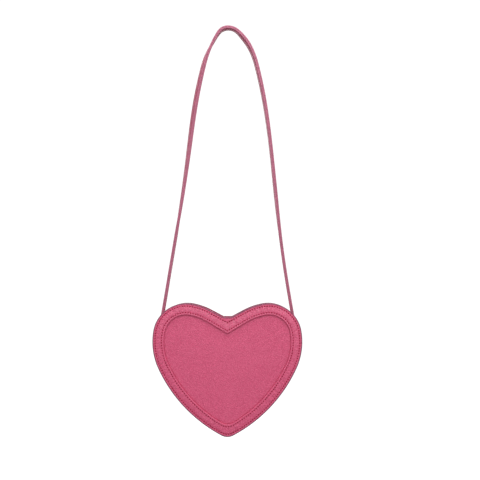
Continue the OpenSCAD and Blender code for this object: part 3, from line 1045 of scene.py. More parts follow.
def plate(loops: Sequence[np.ndarray], low: float, high: float, round_by: float) -> bpy.types.Mesh:
    """A flat plate with rounded edges, cut from one outline and its holes.

    Args:
        loops: the outline and the holes, in millimetres.
        low: height of the lower face.
        high: height of the upper face.
        round_by: radius of the rounded edges.

    Returns:
        The mesh, in millimetres.
    """
    curve = bpy.data.curves.new("plate", "CURVE")
    curve.dimensions = "2D"
    curve.fill_mode = "BOTH"
    curve.extrude = (high - low) / 2 - round_by
    curve.bevel_depth = round_by
    curve.bevel_resolution = 2
    curve.offset = -round_by
    for loop in loops:
        spline = curve.splines.new("POLY")
        spline.points.add(len(loop) - 1)
        for point, (x, y) in zip(spline.points, loop):
            point.co = (x, y, 0.0, 1.0)
        spline.use_cyclic_u = True
    mesh = evaluated(added("plate", curve))
    mesh.transform(Matrix.Translation((0, 0, (low + high) / 2)))
    tidy(mesh, JOIN_DRAWN)
    return mesh


class RowTool:
    """A node tree that sets copies of one small mesh along a line."""

    def __init__(self) -> None:
        """Builds the tree."""
        tree = bpy.data.node_groups.new("row_of_copies", "GeometryNodeTree")
        self.tree = tree
        face = tree.interface
        self.names: dict[str, str] = {}
        for name, kind in (
            ("Line", "Geometry"), ("Copy", "Object"), ("Count", "Int"),
            ("Sway", "Float"), ("Seed", "Int"), ("Finish", "Material"),
        ):
            socket = face.new_socket(name, in_out="INPUT", socket_type=f"NodeSocket{kind}")
            self.names[name] = socket.identifier
        face.new_socket("Row", in_out="OUTPUT", socket_type="NodeSocketGeometry")
        given = self.add("NodeGroupInput", {}, {})
        line = self.add("GeometryNodeMeshToCurve", {}, {0: given.outputs["Line"]})
        count = {"Curve": line.outputs[0], "Count": given.outputs["Count"]}
        even = self.add("GeometryNodeResampleCurve", {"mode": "COUNT"}, count)
        info = self.add("GeometryNodeObjectInfo", {}, {0: given.outputs["Copy"]})
        along = self.add("GeometryNodeInputTangent", {}, {})
        up = self.add("GeometryNodeInputNamedAttribute", {"data_type": "FLOAT_VECTOR"}, {0: "up"})
        axes = {"primary_axis": "X", "secondary_axis": "Z"}
        turned = {0: along.outputs[0], 1: up.outputs[0]}
        facing = self.add("FunctionNodeAxesToRotation", axes, turned)
        sway = given.outputs["Sway"]
        minus = self.add("ShaderNodeMath", {"operation": "MULTIPLY"}, {0: sway, 1: -1.0})
        limits = {"Min": minus.outputs[0], "Max": sway, "Seed": given.outputs["Seed"]}
        chance = self.add("FunctionNodeRandomValue", {"data_type": "FLOAT"}, {})
        for socket in chance.inputs:
            if socket.enabled and socket.name in limits:
                tree.links.new(limits[socket.name], socket)
        drawn = next(s for s in chance.outputs if s.enabled)
        euler = self.add("ShaderNodeCombineXYZ", {}, {2: drawn})
        spin = self.add("FunctionNodeEulerToRotation", {}, {0: euler.outputs[0]})
        turns = {0: facing.outputs[0], 1: spin.outputs[0]}
        both = self.add("FunctionNodeRotateRotation", {"rotation_space": "LOCAL"}, turns)
        set_out = {
            "Points": even.outputs[0], "Instance": info.outputs["Geometry"],
            "Rotation": both.outputs[0],
        }
        copies = self.add("GeometryNodeInstanceOnPoints", {}, set_out)
        real = self.add("GeometryNodeRealizeInstances", {}, {0: copies.outputs[0]})
        finish = {0: real.outputs[0], "Material": given.outputs["Finish"]}
        dyed = self.add("GeometryNodeSetMaterial", {}, finish)
        self.add("NodeGroupOutput", {}, {0: dyed.outputs[0]})

    def add(self, kind: str, settings: dict[str, Any], sockets: dict[Any, Any]) -> bpy.types.Node:
        """Adds a node with its settings, and its inputs as values or links.

        Args:
            kind: the node's type.
            settings: its attributes, set first.
            sockets: values or links of its inputs, by name or number.

        Returns:
            The node.
        """
        node = self.tree.nodes.new(kind)
        for name, value in settings.items():
            setattr(node, name, value)
        for name, value in sockets.items():
            if isinstance(value, bpy.types.NodeSocket):
                self.tree.links.new(value, node.inputs[name])
            else:
                node.inputs[name].default_value = value
        return node

    def lay(
        self, line: np.ndarray, up: np.ndarray, copy: bpy.types.Mesh, count: int, finish: Finish,
        closed: bool = False, sway: float = 0.0, seed: int = 1,
    ) -> bpy.types.Mesh:
        """Sets copies of a mesh along a line.

        Args:
            line: points in metres.
            up: the way each copy's top faces, at each point.
            copy: the mesh that is repeated.
            count: how many copies.
            finish: what they are made of.
            closed: whether the line closes on itself.
            sway: the largest chance turn of a copy, in radians.
            seed: picks the turns.

        Returns:
            The row as one mesh.
        """
        base = bpy.data.meshes.new("line")
        n = len(line)
        edges = [(i, (i + 1) % n) for i in range(n if closed else n - 1)]
        base.from_pydata(line.tolist(), edges, [])
        layer = base.attributes.new("up", "FLOAT_VECTOR", "POINT")
        layer.data.foreach_set("vector", np.asarray(up, np.float32).ravel())
        holder, sample = added("line", base), added("sample", copy)
        tool = holder.modifiers.new("row", "NODES")
        tool.node_group = self.tree
        given = {
            "Copy": sample, "Count": count, "Sway": sway, "Seed": seed,
            "Finish": material(finish),
        }
        for name, value in given.items():
            tool[self.names[name]] = value
        mesh = evaluated(holder)
        bpy.data.objects.remove(sample)
        for stray in [a.name for a in mesh.attributes if a.name == "up"]:
            mesh.attributes.remove(mesh.attributes[stray])
        return mesh


def small(rows: Sequence[np.ndarray], name: str) -> bpy.types.Mesh:
    """The mesh of one small closed part, from its rings of points.

    Args:
        rows: the rings, in metres.
        name: the mesh's name.

    Returns:
        The mesh.
    """
    shell = Shell()
    shell.grid(np.array(rows), caps=True)
    mesh = shell.mesh(name)
    tidy(mesh, JOIN_SMALL)
    return mesh


def stitch(length: float, thick: float) -> bpy.types.Mesh:
    """One lock stitch: thread that rises from a hole, lies on the leather and dives again.

    Args:
        length: distance between its holes, in millimetres.
        thick: radius of the thread.

    Returns:
        The mesh along X, in metres.
    """
    sides, flat, dive = 6, 0.85, 6
    turns = np.linspace(0, 2 * math.pi, sides + 1)[:-1]
    rows = []
    for share in (-1.0, -0.86, -0.55, 0.0, 0.55, 0.86, 1.0):
        end = abs(share) ** dive
        swell = math.sqrt(max(0.05, 1.0 - 0.6 * end))
        y = thick * swell * np.cos(turns)
        z = thick * flat * swell * np.sin(turns) - thick * end
        rows.append(np.stack([np.full(sides, share * length / 2), y, z], 1) * MM)
    return small(rows, "stitch")


@dataclass
class Sewing:
    """Rows of stitches, gathered for each piece of the purse."""

    tool: RowTool
    pitch: float = 3.6
    length: float = 2.35
    thick: float = 0.66
    thread: Thread = THREAD
    sway: float = 0.05

    def row(
        self, line: np.ndarray, up: np.ndarray, closed: bool = False, seed: int = 1,
    ) -> bpy.types.Mesh:
        """One row of stitches along a line in metres, whose top faces the way of up.

        Args:
            line: points in metres.
            up: the way each stitch's top faces, at each point.
            closed: whether the line closes on itself.
            seed: picks the chance turns.

        Returns:
            The row as one mesh.
        """
        run = lengths(np.concatenate([line, line[:1]]) if closed else line)[-1] / MM
        count = max(2, round(run / self.pitch) + (0 if closed else 1))
        one = stitch(self.length, self.thick)
        return self.tool.lay(line, up, one, count, self.thread, closed, self.sway, seed)

    def sew(self, name: str, rows: Sequence[bpy.types.Mesh], body: str) -> bpy.types.Object:
        """Joins rows into one piece."""
        return piece(name, joined(rows), [self.thread], body, crease=70.0)


# ---------------------------------------------------------------- front and back


@dataclass
class Border:
    """The padded leather border round the front panel's window."""

    plan: HeartPlan
    face: float = -FACE
    leather: float = 1.3
    outer_row: float = 3.6
    inner_row: float = 12.8
    width: float = 16.0
    pad: float = 0.62
    dip: float = 0.12
    bead: float = 0.26
    outer_groove: float = 0.12
    inner_groove: float = 0.08
    pucker: float = 0.09
    swell: float = 0.35
    pitch: float = 3.6
    fullness: float = 2.2
    dip_w: float = 1.1
    groove_w: float = 0.55
    # Width of the painted shade under the stitches of each row.
    shade_w: float = 0.7
    pull_reach: float = 4.5
    pull_fade: float = 1.3
    pad_middle: float = 7.5
    pad_half: float = 4.5
    bead_middle: float = 14.2
    bead_w: float = 0.8
    lip_drop: float = 0.45
    lip_start: float = 1.7
    lip_run: float = 1.4
    # How many points of the window's wall carry painted shadow.
    shaded_rim: int = 4

    def height(self, t: np.ndarray) -> np.ndarray:
        """Rise of the border's skin at an inset, before the stitches pull at it.

        Args:
            t: the insets.

        Returns:
            The rise at each, in millimetres.
        """
        span = self.inner_row - self.outer_row
        u = np.clip((t - self.outer_row) / span, 0, 1)
        dome = 1 - (1 - u) ** self.fullness
        w = np.clip((t - self.inner_row) / (self.width - self.inner_row), 0, 1)
        dome *= (1 - w ** 4) * (1 - self.dip * bell(t - self.inner_row, self.dip_w))
        v = np.abs(2 * w - 1)
        bead = np.clip(1 - v ** 2.6, 0, 1) ** 0.75
        lip = -self.lip_drop * np.clip((self.lip_start - t) / self.lip_run, 0, 1) ** 2
        return self.leather + self.pad * dome + self.bead * bead + lip

    def marks(self, row: float) -> np.ndarray:
        """How a row's stitches pull at each station, from -1 between them to 1 under one.

        Args:
            row: the row's inset.

        Returns:
            The pull at each station of the outline.
        """
        loop = self.plan.loop(row)
        run = lengths(np.concatenate([loop, loop[:1]]))
        count = round(run[-1] / self.pitch)
        return np.cos(2 * math.pi * run[:-1] * count / run[-1])

    def between(self, clear: float) -> np.ndarray:
        """Which insets lie between the two rows and clear of both by a distance."""
        return (self.insets > self.outer_row + clear) & (self.insets < self.inner_row - clear)

    @cached_property
    def insets(self) -> np.ndarray:
        """Insets of the points that the skin has on top."""
        near = np.array([-0.9, -0.5, -0.2, 0.0, 0.2, 0.5, 0.9])
        return np.concatenate([
            [0.3, 0.6, 1.0, 1.5, 2.1], self.outer_row + near, [5.1], np.arange(5.8, 10.9, 0.75),
            [11.4], self.inner_row + near, [14.2, 14.7, 15.1, 15.5, 15.75],
        ])

    def skin(self) -> tuple[np.ndarray, np.ndarray, np.ndarray, np.ndarray]:
        """The border's section at every station.

        Returns:
            The points, their painted shade, their wear and painted highlight, and how polished they are.
        """
        crown = self.insets
        tops = len(crown)
        rim_t = np.array([15.95, 16.0, 15.85, 15.5, 0.5, 0.25])
        rim_h = np.array([1.15, 0.6, 0.1, 0.0, 0.0, 0.35])
        loops = np.stack([self.plan.loop(t) for t in np.concatenate([crown, rim_t])], 1)
        outer = self.marks(self.outer_row)[:, None]
        inner = self.marks(self.inner_row)[:, None]
        t = crown[None, :]
        rise = np.repeat(self.height(crown)[None, :], len(loops), 0)
        sides = (
            (outer, self.outer_row, self.outer_groove, 1.0),
            (inner, self.inner_row, self.inner_groove, -1.0),
        )
        for pull, row, groove, sign in sides:
            rise -= bell(t - row, self.groove_w) * groove * (0.6 + 0.4 * pull)
            into = np.clip((t - row) * sign, 0, self.pull_reach)
            crease = self.pucker * pull * into * np.exp(-into / self.pull_fade)
            rise -= np.where((t - row) * sign > 0, crease, 0)
        run = lengths(loops[:, 0])
        lap = float(run[-1])
        padded = np.clip(1 - ((t - self.pad_middle) / self.pad_half) ** 2, 0, 1)
        long, short = ripple(run, lap, 9.0, 3)[:, None], ripple(run, lap, 3.8, 5)[:, None]
        rise += padded * (0.12 * long + 0.08 * short)
        rise = np.concatenate([rise, np.repeat(rim_h[None, :], len(loops), 0)], 1)
        # Painted shade: dark spots under the stitches of both rows, and a faint line along them.
        press = np.zeros_like(rise)
        for pull, row, _, _ in sides:
            press[:, :tops] += bell(t - row, self.shade_w) * (0.02 + 0.60 * np.clip(pull, 0, 1))
        rub = np.zeros_like(rise)
        mottle = 0.55 + 0.45 * ripple(run, lap, 6.0, 8)[:, None]
        across = loops[:, 0] - loops[:, tops - 1]
        rising = across[:, 1] / np.hypot(across[:, 0], across[:, 1])
        upward = smooth(rising / 0.9 + 0.33)[:, None]
        bead = bell(t - self.bead_middle, self.bead_w)
        # Painted shadow along the window's edge and on its wall, darker where they face down.
        press[:, :tops] += (0.5 - 0.4 * upward) * smooth((t - 15.2) / 0.6)
        press[:, tops:tops + self.shaded_rim] = 1.0 - 0.5 * upward
        # A painted highlight on the bead, stronger where it faces up, and wear along the outer lip.
        rub[:, :tops] = (0.06 + 0.34 * upward) * bead + 0.10 * bell(t - 1.6, 0.6)
        gloss = np.zeros_like(rise)
        gloss[:, :tops] = (padded + 0.7 * bead) * mottle * (0.3 + 0.7 * upward)
        return lift(loops, self.face - rise), np.clip(press, 0, 1), rub, gloss

    def build(self, sewing: Sewing) -> None:
        """Makes the leather, its pad and its two rows of stitches.

        Args:
            sewing: makes the stitches.
        """
        points, press, rub, gloss = self.skin()
        points = self.relax(points)
        shell = Shell()
        shell.grid(points, closed=(True, True), press=press, rub=rub, gloss=gloss)
        leather = shell.make("border_leather", [LEATHER], "bag", ["front_border"])
        self.filling(points)
        rows = []
        for row, groove, seed in (
            (self.outer_row, self.outer_groove, 11), (self.inner_row, self.inner_groove, 12),
        ):
            loop = self.plan.loop(row)
            level = self.face - float(self.height(np.array([row]))[0]) + groove - 0.12
            up = through(len(loop), -1.0)
            rows.append(sewing.row(lift(loop, level), up, closed=True, seed=seed))
        sewing.sew("border_stitches", rows, "bag")

    def filling(self, points: np.ndarray) -> None:
        """Makes the foam that fills the channel under the leather.

        Args:
            points: the border's points, with those on top first.
        """
        inside = np.flatnonzero(self.between(0.8))
        top = points[:, inside].copy()
        share = np.linspace(-1.0, 1.0, len(inside))
        top[..., 1] += (self.leather - 0.25 * share ** 2) * MM
        base = top[:, ::-1].copy()
        base[..., 1] = (self.face - 0.03) * MM
        top[..., 1] = np.minimum(top[..., 1], base[:, ::-1, 1] - 0.05 * MM)
        shell = Shell()
        shell.grid(np.concatenate([top, base], 1), closed=(True, True))
        shell.make("border_foam", [FOAM], "bag", ["border_pad"])

    def relax(self, points: np.ndarray) -> np.ndarray:
        """Lets the padded channel swell and crease as cloth that is held at its two rows.

        Args:
            points: the border's points.
        """
        rows, top = len(points), len(self.insets)
        part = points[:, :top].copy()
        shell = Shell()
        shell.grid(part, closed=(True, False))
        holder = added("channel", shell.mesh("channel"))
        held = holder.vertex_groups.new(name="held")
        free = self.between(0.6)
        pinned = [i * top + k for i in range(rows) for k in range(top) if not free[k]]
        held.add(pinned, 1.0, "REPLACE")
        cloth = holder.modifiers.new("swell", "CLOTH")
        for setting, value in CLOTH.items():
            setattr(cloth.settings, setting, value)
        cloth.settings.effector_weights.gravity = 0.0
        cloth.collision_settings.use_collision = False
        scene = bpy.context.scene
        for step in range(1, CLOTH_FRAMES + 1):
            scene.frame_set(step)
        after = evaluated(holder)
        scene.frame_set(1)
        co = np.empty(rows * top * 3)
        after.vertices.foreach_get("co", co)
        moved = co.reshape(rows, top, 3) - part
        moved[..., 1] = np.minimum(moved[..., 1], 0.05 * MM)
        far = np.linalg.norm(moved, axis=2, keepdims=True)
        moved *= np.minimum(1.0, self.swell * MM / np.maximum(far, 1e-9))
        log.info("border channel swells by up to %.2f mm", float(far.max()) / MM)
        points = points.copy()
        points[:, :top] += moved
        return points


@dataclass
class Panel:
    """A heart panel with a soft crown."""

    plan: HeartPlan
    side: Side
    face: float = FACE
    thick: float = 1.6
    crown: float = 0.5
    start: float = 16.5
    stitched: float = 0.0
    fan_inset: float = 25.0
    fan_reach: float = 62.0
    centre_z: float = 108.0

    def build(self) -> None:
        """Makes the panel."""
        sign = self.side.value
        insets = [
            0.25, 0.6, 1.2, 2.0, 2.6, 3.0, 3.4, 3.8, 4.2, 5.0, 6.5, 9.5, 13.0, 15.6, 16.2, 16.7,
            17.4, 19.0, 22.0, self.fan_inset,
        ]
        shares = [0.1, 0.22, 0.36, 0.5, 0.64, 0.77, 0.88, 0.96, 1.0]
        centre = np.array([0.0, self.centre_z])
        inner = self.plan.loop(self.fan_inset)
        fans = [inner + (centre - inner) * s for s in shares]
        loops = [self.plan.loop(t) for t in insets] + fans
        reach = np.array(insets + [self.fan_inset + self.fan_reach * s for s in shares])
        rise = self.crown * smooth((reach - self.start) / 46.0)
        rise = np.where(reach < 0.5, -0.4, rise) + np.where(np.abs(reach - 0.6) < 0.1, -0.1, 0.0)
        if self.stitched:
            rise = rise - 0.28 * bell(reach - self.stitched, 0.5)
        run = lengths(loops[0])
        wave = ripple(run, float(run[-1]), 45.0, 21 + sign)[:, None]
        soft = 0.10 * wave * smooth((reach - self.start) / 12.0)
        soft = soft * (1.0 - smooth((reach - 40.0) / 45.0))
        front = lift(np.stack(loops, 1), sign * (self.face + rise[None, :] + soft))
        flat = [self.plan.loop(t) for t in (0.3, 4.0, 12.0)]
        flat += [inner + (centre - inner) * s for s in (0.0, 0.5, 1.0)]
        back = lift(np.stack(flat, 1), sign * (self.face - self.thick))
        points = np.concatenate([back[:, ::-1], front], 1)
        # Painted shade: a painted shadow along the window's edge under the border on the front, and a dark
        # line along the row of stitches on the back.
        press = np.zeros(points.shape[:2])
        line, dark, wide = (self.stitched, 0.45, 0.5) if self.stitched else (16.1, 0.42, 0.55)
        press[:, len(flat):] = dark * bell(reach - line, wide)[None, :]
        shell = Shell()
        shell.grid(points, closed=(True, False), press=press)
        name = f"{self.side.name.lower()}_panel"
        shell.make(f"{name}_leather", [LEATHER], "bag", [name])


@dataclass
class EdgeFilm:
    """Paint round the stacked leather edges of one face."""

    plan: HeartPlan
    side: Side
    outside: float
    inside: float
    joints: tuple[float, ...]
    reach: float = 1.05
    proud: float = 0.13
    seam_half: float = 0.16
    sharp: float = 60.0

    def build(self) -> None:
        """Makes the painted rim."""
        sign = self.side.value
        top, low = self.outside, self.inside
        section = [
            (self.reach, top - 0.06), (self.reach - 0.2, top + 0.03), (0.45, top - 0.02),
            (0.10, top - 0.32),
        ]
        levels = [top - 0.7]
        for joint in self.joints:
            levels += [joint + self.seam_half, joint, joint - self.seam_half]
        for level in levels + [low + 0.55]:
            section.append((-0.03 if level in self.joints else -self.proud, level))
        section += [
            (0.05, low + 0.2), (0.4, low - 0.06), (0.8, low - 0.10), (1.1, low - 0.04),
            (1.0, low + 0.12), (0.4, low + 0.25), (0.32, (top + low) / 2), (0.45, top - 0.5),
            (0.95, top - 0.3),
        ]
        loops = np.stack([self.plan.loop(t, self.sharp) for t, _ in section], 1)
        run = lengths(loops[:, 0])
        wave = 0.05 * ripple(run, float(run[-1]), 14.0, 41 + sign)[:, None]
        depth = sign * (np.array([y for _, y in section])[None, :] + wave * 0.5)
        rub = np.zeros(loops.shape[:2])
        rub[:, 1:3] = 0.5
        shell = Shell()
        shell.grid(lift(loops, depth), closed=(True, True), rub=rub)
        shell.make(f"{self.side.name.lower()}_edge_paint", [PAINT], "bag", crease=60.0)


# ---------------------------------------------------------------- walls


@dataclass
class Gusset:
    """The wall round the tip, with a flange turned out along each panel."""

    plan: HeartPlan
    half: float = WALL_HALF
    thick: float = 1.3
    sag: float = 0.6
    row: float = 3.0

    def build(self, sewing: Sewing) -> None:
        """Makes the wall and the stitches that show on its flanges.

        Args:
            sewing: makes the stitches.
        """
        rim, deep, wall = self.half, self.half - self.thick, self.plan.rim
        side = [
            (0.3, rim), (0.3, deep), (1.6, deep), (2.6, deep), (3.0, deep + 0.18), (3.4, deep),
            (5.0, deep), (6.0, deep - 0.1), (6.6, deep - 0.5), (6.95, deep - 1.2),
            (7.0, deep - 2.2),
        ]
        across = [18.0, 14.0, 9.0, 4.5, 0.0]
        outside = side + [(wall, y) for y in across] + [(wall, -y) for y in across[-2::-1]]
        outside += [(t, -y) for t, y in side[::-1]]
        inside = [(wall + self.thick, y) for y in (-rim, -14.0, 0.0, 14.0, rim)]
        section = np.array(outside + inside)
        lines = np.stack([self.plan.round_tip(t) for t in section[:, 0]], 1)
        run = lengths(lines[:, 0])
        give = self.sag * np.clip(1 - (section[:, 1] / 20.0) ** 2, 0, 1) * (section[:, 0] > 6.9)
        waves = 1.0 + 0.35 * ripple(run, float(run[-1]), 60.0, 7)
        ends = smooth(run / 25.0) * smooth((run[-1] - run) / 25.0)
        sunk = np.stack([self.plan.round_tip(t + 1.0) for t in section[:, 0]], 1) - lines
        sunk[:, section[:, 0] < 6.9] = 0.0
        lines = lines + sunk * (give[None, :] * (waves * ends)[:, None])[..., None]
        # Painted shade along the flange's row of stitches and in the bend where the flange turns into the
        # wall.
        press = np.zeros(lines.shape[:2]) + 0.4 * bell(section[:, 0] - self.row, 0.4)[None, :]
        press = press + 0.25 * bell(section[:, 0] - 6.6, 0.5)[None, :]
        shell = Shell()
        shell.grid(lift(lines, section[:, 1]), closed=(False, True), press=press, caps=True)
        shell.make("gusset_leather", [LEATHER], "bag", ["bottom_gusset"])
        rows = []
        for side_of in Side:
            line = self.plan.round_tip(self.row)
            level = side_of.value * (deep + 0.12)
            up = through(len(line), -side_of.value)
            rows.append(sewing.row(lift(line, level), up, seed=31 + side_of.value))
        sewing.sew("gusset_stitches", rows, "bag")


@dataclass
class ZipStrip:
    """Leather between a panel and the zip, with its edge folded along the tape."""

    plan: HeartPlan
    side: Side
    mouth: float = 6.5
    half: float = WALL_HALF
    thick: float = 1.3
    row: float = 2.2

    def build(self, sewing: Sewing) -> list[bpy.types.Mesh]:
        """Makes the strip.

        Args:
            sewing: makes the stitches.

        Returns:
            Its rows of stitches.
        """
        sign = self.side.value
        deep = self.half - self.thick
        line = self.plan.zip_line
        wall, sewn, rim = line(0.0), self.plan.over_top(3.0), self.plan.over_top(0.3)
        m = self.mouth
        skin = [
            (0.95, m + 0.05), (0.45, m), (0.12, m + 0.12), (0.0, m + 0.4), (0.0, m + 1.4),
            (0.14, m + self.row), (0.0, m + 3.0), (-0.05, 12.0), (0.05, 16.0),
            (0.0, deep - 2.0), (-0.1, deep - 1.1),
        ]
        columns = [line(d) for d, _ in skin]
        levels = [y for _, y in skin]
        for share, y in ((0.12, deep - 0.5), (0.3, deep - 0.06), (0.8, deep), (1.0, deep + 0.16)):
            columns.append(wall + (sewn - wall) * share)
            levels.append(y)
        for share, y in ((0.15, deep), (1.0, deep), (1.0, self.half)):
            columns.append(sewn + (rim - sewn) * share)
            levels.append(y)
        columns += [sewn, wall] + [line(self.thick)] * 4
        levels += [self.half, self.half, self.half - 0.1, 16.0, 11.0, m + 0.3]
        points = lift(np.stack(columns, 1), sign * np.array(levels))
        # Painted shade along the row of stitches beside the zip and in the fold where the strip turns out.
        press = np.zeros(points.shape[:2])
        row_at, fold_at = 5, slice(12, 15)
        press[:, row_at] = 0.4
        press[:, fold_at] = 0.25
        shell = Shell()
        shell.grid(points, closed=(False, True), press=press, caps=True)
        name = f"zip_strip_{self.side.name.lower()}"
        shell.make(f"{name}_leather", [LEATHER], "bag", [name])
        seam = line(0.04)
        up = upright(seam - line(1.04))
        beside = sewing.row(lift(seam, sign * (m + self.row)), up, seed=51 + sign)
        up = through(len(sewn), -sign)
        return [beside, sewing.row(lift(sewn, sign * (deep + 0.12)), up, seed=53 + sign)]


# ---------------------------------------------------------------- zip


@dataclass
class Zip:
    """The tapes, the two rows of teeth, the stops and the end tabs."""

    plan: HeartPlan
    leather: float = 1.3
    tape: float = 0.7
    tape_in: float = 1.2
    tape_out: float = 12.0
    pitch: float = 3.0
    tooth_w: float = 1.35
    tooth_h: float = 2.4
    leg: float = 3.1
    head: float = 0.8
    parted: float = -0.5
    teeth: int = 27
    parted_run: float = 35.9
    tab_l: float = 9.0
    tab_w: float = 18.0
    tab_row: float = 2.2
    tab_stitch: float = 1.16
    stop_l: float = 1.6
    seat: float = 0.08

    @property
    def middle(self) -> float:
        """Inset of the tape's middle from the zip's line."""
        return self.leather + self.tape / 2

    def tapes(self) -> None:
        """Makes the two woven tapes."""
        top, low = self.leather + 0.02, self.leather + self.tape - 0.02
        section = [
            (top, self.tape_out), (top, 6.0), (top, 2.2), (top - 0.22, 1.7),
            (top + 0.05, self.tape_in + 0.02), (low - 0.05, self.tape_in + 0.02),
            (low + 0.22, 1.7), (low, 2.2), (low, self.tape_out),
        ]
        for side in Side:
            lines = np.stack([self.plan.zip_line(d) for d, _ in section], 1)
            depth = np.array([y for _, y in section])
            run = lengths(lines[:, 0])
            place = np.zeros((*lines.shape[:2], 3))
            place[..., 0] = run[:, None]
            place[..., 1] = depth[None, :]
            shell = Shell()
            shell.grid(lift(lines, side.value * depth), closed=(False, True), run=place, caps=True)
            name = f"zip_tape_{side.name.lower()}"
            shell.make(f"{name}_cloth", [TAPE], "bag", [name])

    def tooth(self, reach: float) -> bpy.types.Mesh:
        """One tooth across Y from its leg to a reach past the middle, in metres.

        Args:
            reach: how far its head passes the middle.

        Returns:
            The mesh.
        """
        shares = [(0.40, 0.0), (0.40, 0.55), (0.5, 0.72), (0.5, 0.9), (0.30, 1.0)]
        whole = self.leg + reach
        half = [(s * self.tooth_w, k * whole - self.leg) for s, k in shares]
        ring = np.array(half + [(-x, y) for x, y in half[::-1]])
        middle = ring.mean(0)
        rows = []
        for level, share in ((-0.5, 0.80), (-0.36, 1.0), (0.36, 1.0), (0.5, 0.80)):
            flat = middle + (ring - middle) * share
            height = np.full((len(ring), 1), level * self.tooth_h)
            rows.append(np.concatenate([flat, height], 1) * MM)
        return small(rows, "tooth")

    def chain(self, tool: RowTool) -> None:
        """Makes the two rows of teeth, drawn apart where the slider's wedge runs.

        Args:
            tool: sets the teeth along the line.
        """
        line = self.plan.zip_line(self.middle)
        out = self.plan.zip_line(self.middle - 1.0) - line
        run = lengths(line)
        run = run - run[-1] / 2
        dense = np.linspace(run[0], run[-1], 1200)
        for side in Side:
            shift = 0.0 if side is Side.FRONT else 0.5
            last = self.teeth if side is Side.FRONT else self.teeth - 1
            places = (np.arange(-self.teeth, last + 1) + shift) * self.pitch
            drawn = places > self.parted_run
            meshes = []
            for reach, group in ((self.head, places[~drawn]), (self.parted, places[drawn])):
                inner = dense[(dense > group[0]) & (dense < group[-1])]
                at = np.concatenate([[group[0]], inner, [group[-1]]])
                points = lift(read_off(line, run, at), 0.0)
                up = upright(read_off(out, run, at))
                if side is Side.BACK:
                    points, up = points[::-1], up[::-1]
                meshes.append(tool.lay(points, up, self.tooth(reach), len(group), METAL))
            name = f"zip_chain_{side.name.lower()}"
            piece(f"{name}_teeth", joined(meshes), [METAL], "bag", [name], crease=30.0)

    def local(self, angle: float, left: bool = False) -> Matrix:
        """Turns a piece drawn in millimetres on the zip's line to its place over a lobe.

        Args:
            angle: the place on the lobe, in degrees.
            left: whether it is the left lobe.

        Returns:
            The matrix into the frame's metres.
        """
        out = direction(angle)
        along = direction(angle - 90.0)
        centre = self.plan.zip_c + self.plan.zip_r * out
        mirror = -1.0 if left else 1.0
        return Matrix((
            (mirror * along[0] * MM, 0.0, mirror * out[0] * MM, mirror * centre[0] * MM),
            (0.0, MM, 0.0, 0.0),
            (along[1] * MM, 0.0, out[1] * MM, (centre[1] + TIP) * MM),
            (0.0, 0.0, 0.0, 1.0),
        ))

    @cached_property
    def seam_angle(self) -> float:
        """Angle of the seam on the zip's arc."""
        return bearing(self.plan.seam(0.0) - self.plan.zip_c)

    @cached_property
    def tab_angle(self) -> float:
        """Angle where a tab ends."""
        return self.seam_angle + math.degrees(self.tab_l / self.plan.zip_r)

    def stops(self) -> None:
        """Makes the crimped stops at both ends of the chain."""
        angle = self.tab_angle + math.degrees(self.stop_l / 2 / self.plan.zip_r)
        low, high = -self.middle - self.tooth_h / 2, -self.middle + self.tooth_h / 2
        half = self.stop_l / 2
        parts = []
        apart, whole = ((-self.leg, -0.6), (0.6, self.leg)), ((-self.leg, self.leg),)
        for left, spans in ((False, apart), (True, whole)):
            for first, last in spans:
                ring = np.array([(-half, first), (half, first), (half, last), (-half, last)])
                mesh = plate([ring], low, high, 0.3)
                mesh.transform(self.local(angle, left))
                tidy(mesh, JOIN_SMALL)
                parts.append(mesh)
        piece("zip_stop_metal", joined(parts), [METAL], "bag", ["zip_stops"], crease=50.0)

    def tabs(self, sewing: Sewing) -> list[bpy.types.Mesh]:
        """Makes the leather tabs over the zip's ends.

        Args:
            sewing: makes the stitches.

        Returns:
            Their rows of stitches.
        """
        half = self.tab_w / 2
        rows = []
        for left in (False, True):
            angles = np.linspace(self.seam_angle + 0.1, self.tab_angle - 0.1, 17)
            ends = np.minimum(angles - angles[0], angles[-1] - angles)
            ends = ends * math.radians(1.0) * self.plan.zip_r
            full = 0.5 + 0.5 * np.sqrt(np.clip(ends / 0.7, 0, 1))
            across = [-half, -half + 0.1, -half + 0.5, -half + 1.5, -half + self.tab_row, -5.0, 0.0]
            across = np.concatenate([across, -np.array(across[-2::-1])])
            edge = np.abs(across) - half
            dome = 1.0 - 0.55 * bell(edge, 0.35) - 0.15 * bell(edge + self.tab_row, 0.45)
            points = np.zeros((len(angles), 2 * len(across), 3))
            press = np.zeros(points.shape[:2])
            for i, angle in enumerate(angles):
                out = direction(float(angle))
                for k, y in enumerate(across):
                    base = self.plan.zip_r + self.seat
                    r = base + self.leather * dome[k] * full[i]
                    points[i, k] = lift((self.plan.zip_c + r * out)[None, :], y)[0]
                    points[i, -1 - k] = lift((self.plan.zip_c + base * out)[None, :], y)[0]
                    # Painted shade along the tab's rows of stitches.
                    press[i, k] = 0.35 * bell(abs(y) - half + self.tab_row, 0.4)
            if left:
                points = points * np.array([-1.0, 1.0, 1.0])
            rim = [1, 1] + [0] * (len(across) - 5) + [1, 1]
            paint = rim + [1] + [0] * (len(across) - 1) + [1]
            shell = Shell()
            shell.grid(points, closed=(False, True), paint=paint, press=press, caps=True)
            name = f"zip_tab_{'left' if left else 'right'}"
            shell.make(f"{name}_leather", [LEATHER, PAINT], "bag", [name])
            for y in (-half + self.tab_row, half - self.tab_row):
                turns = np.linspace(self.seam_angle + 1.6, self.tab_angle - 1.6, 12)
                out = np.stack([direction(float(a)) for a in turns])
                flat = self.plan.zip_c + (self.plan.zip_r + self.seat + self.tab_stitch) * out
                line, up = lift(flat, y), upright(out)
                if left:
                    line, up = twin(line), twin(up)
                rows.append(sewing.row(line, up, seed=61))
        return rows

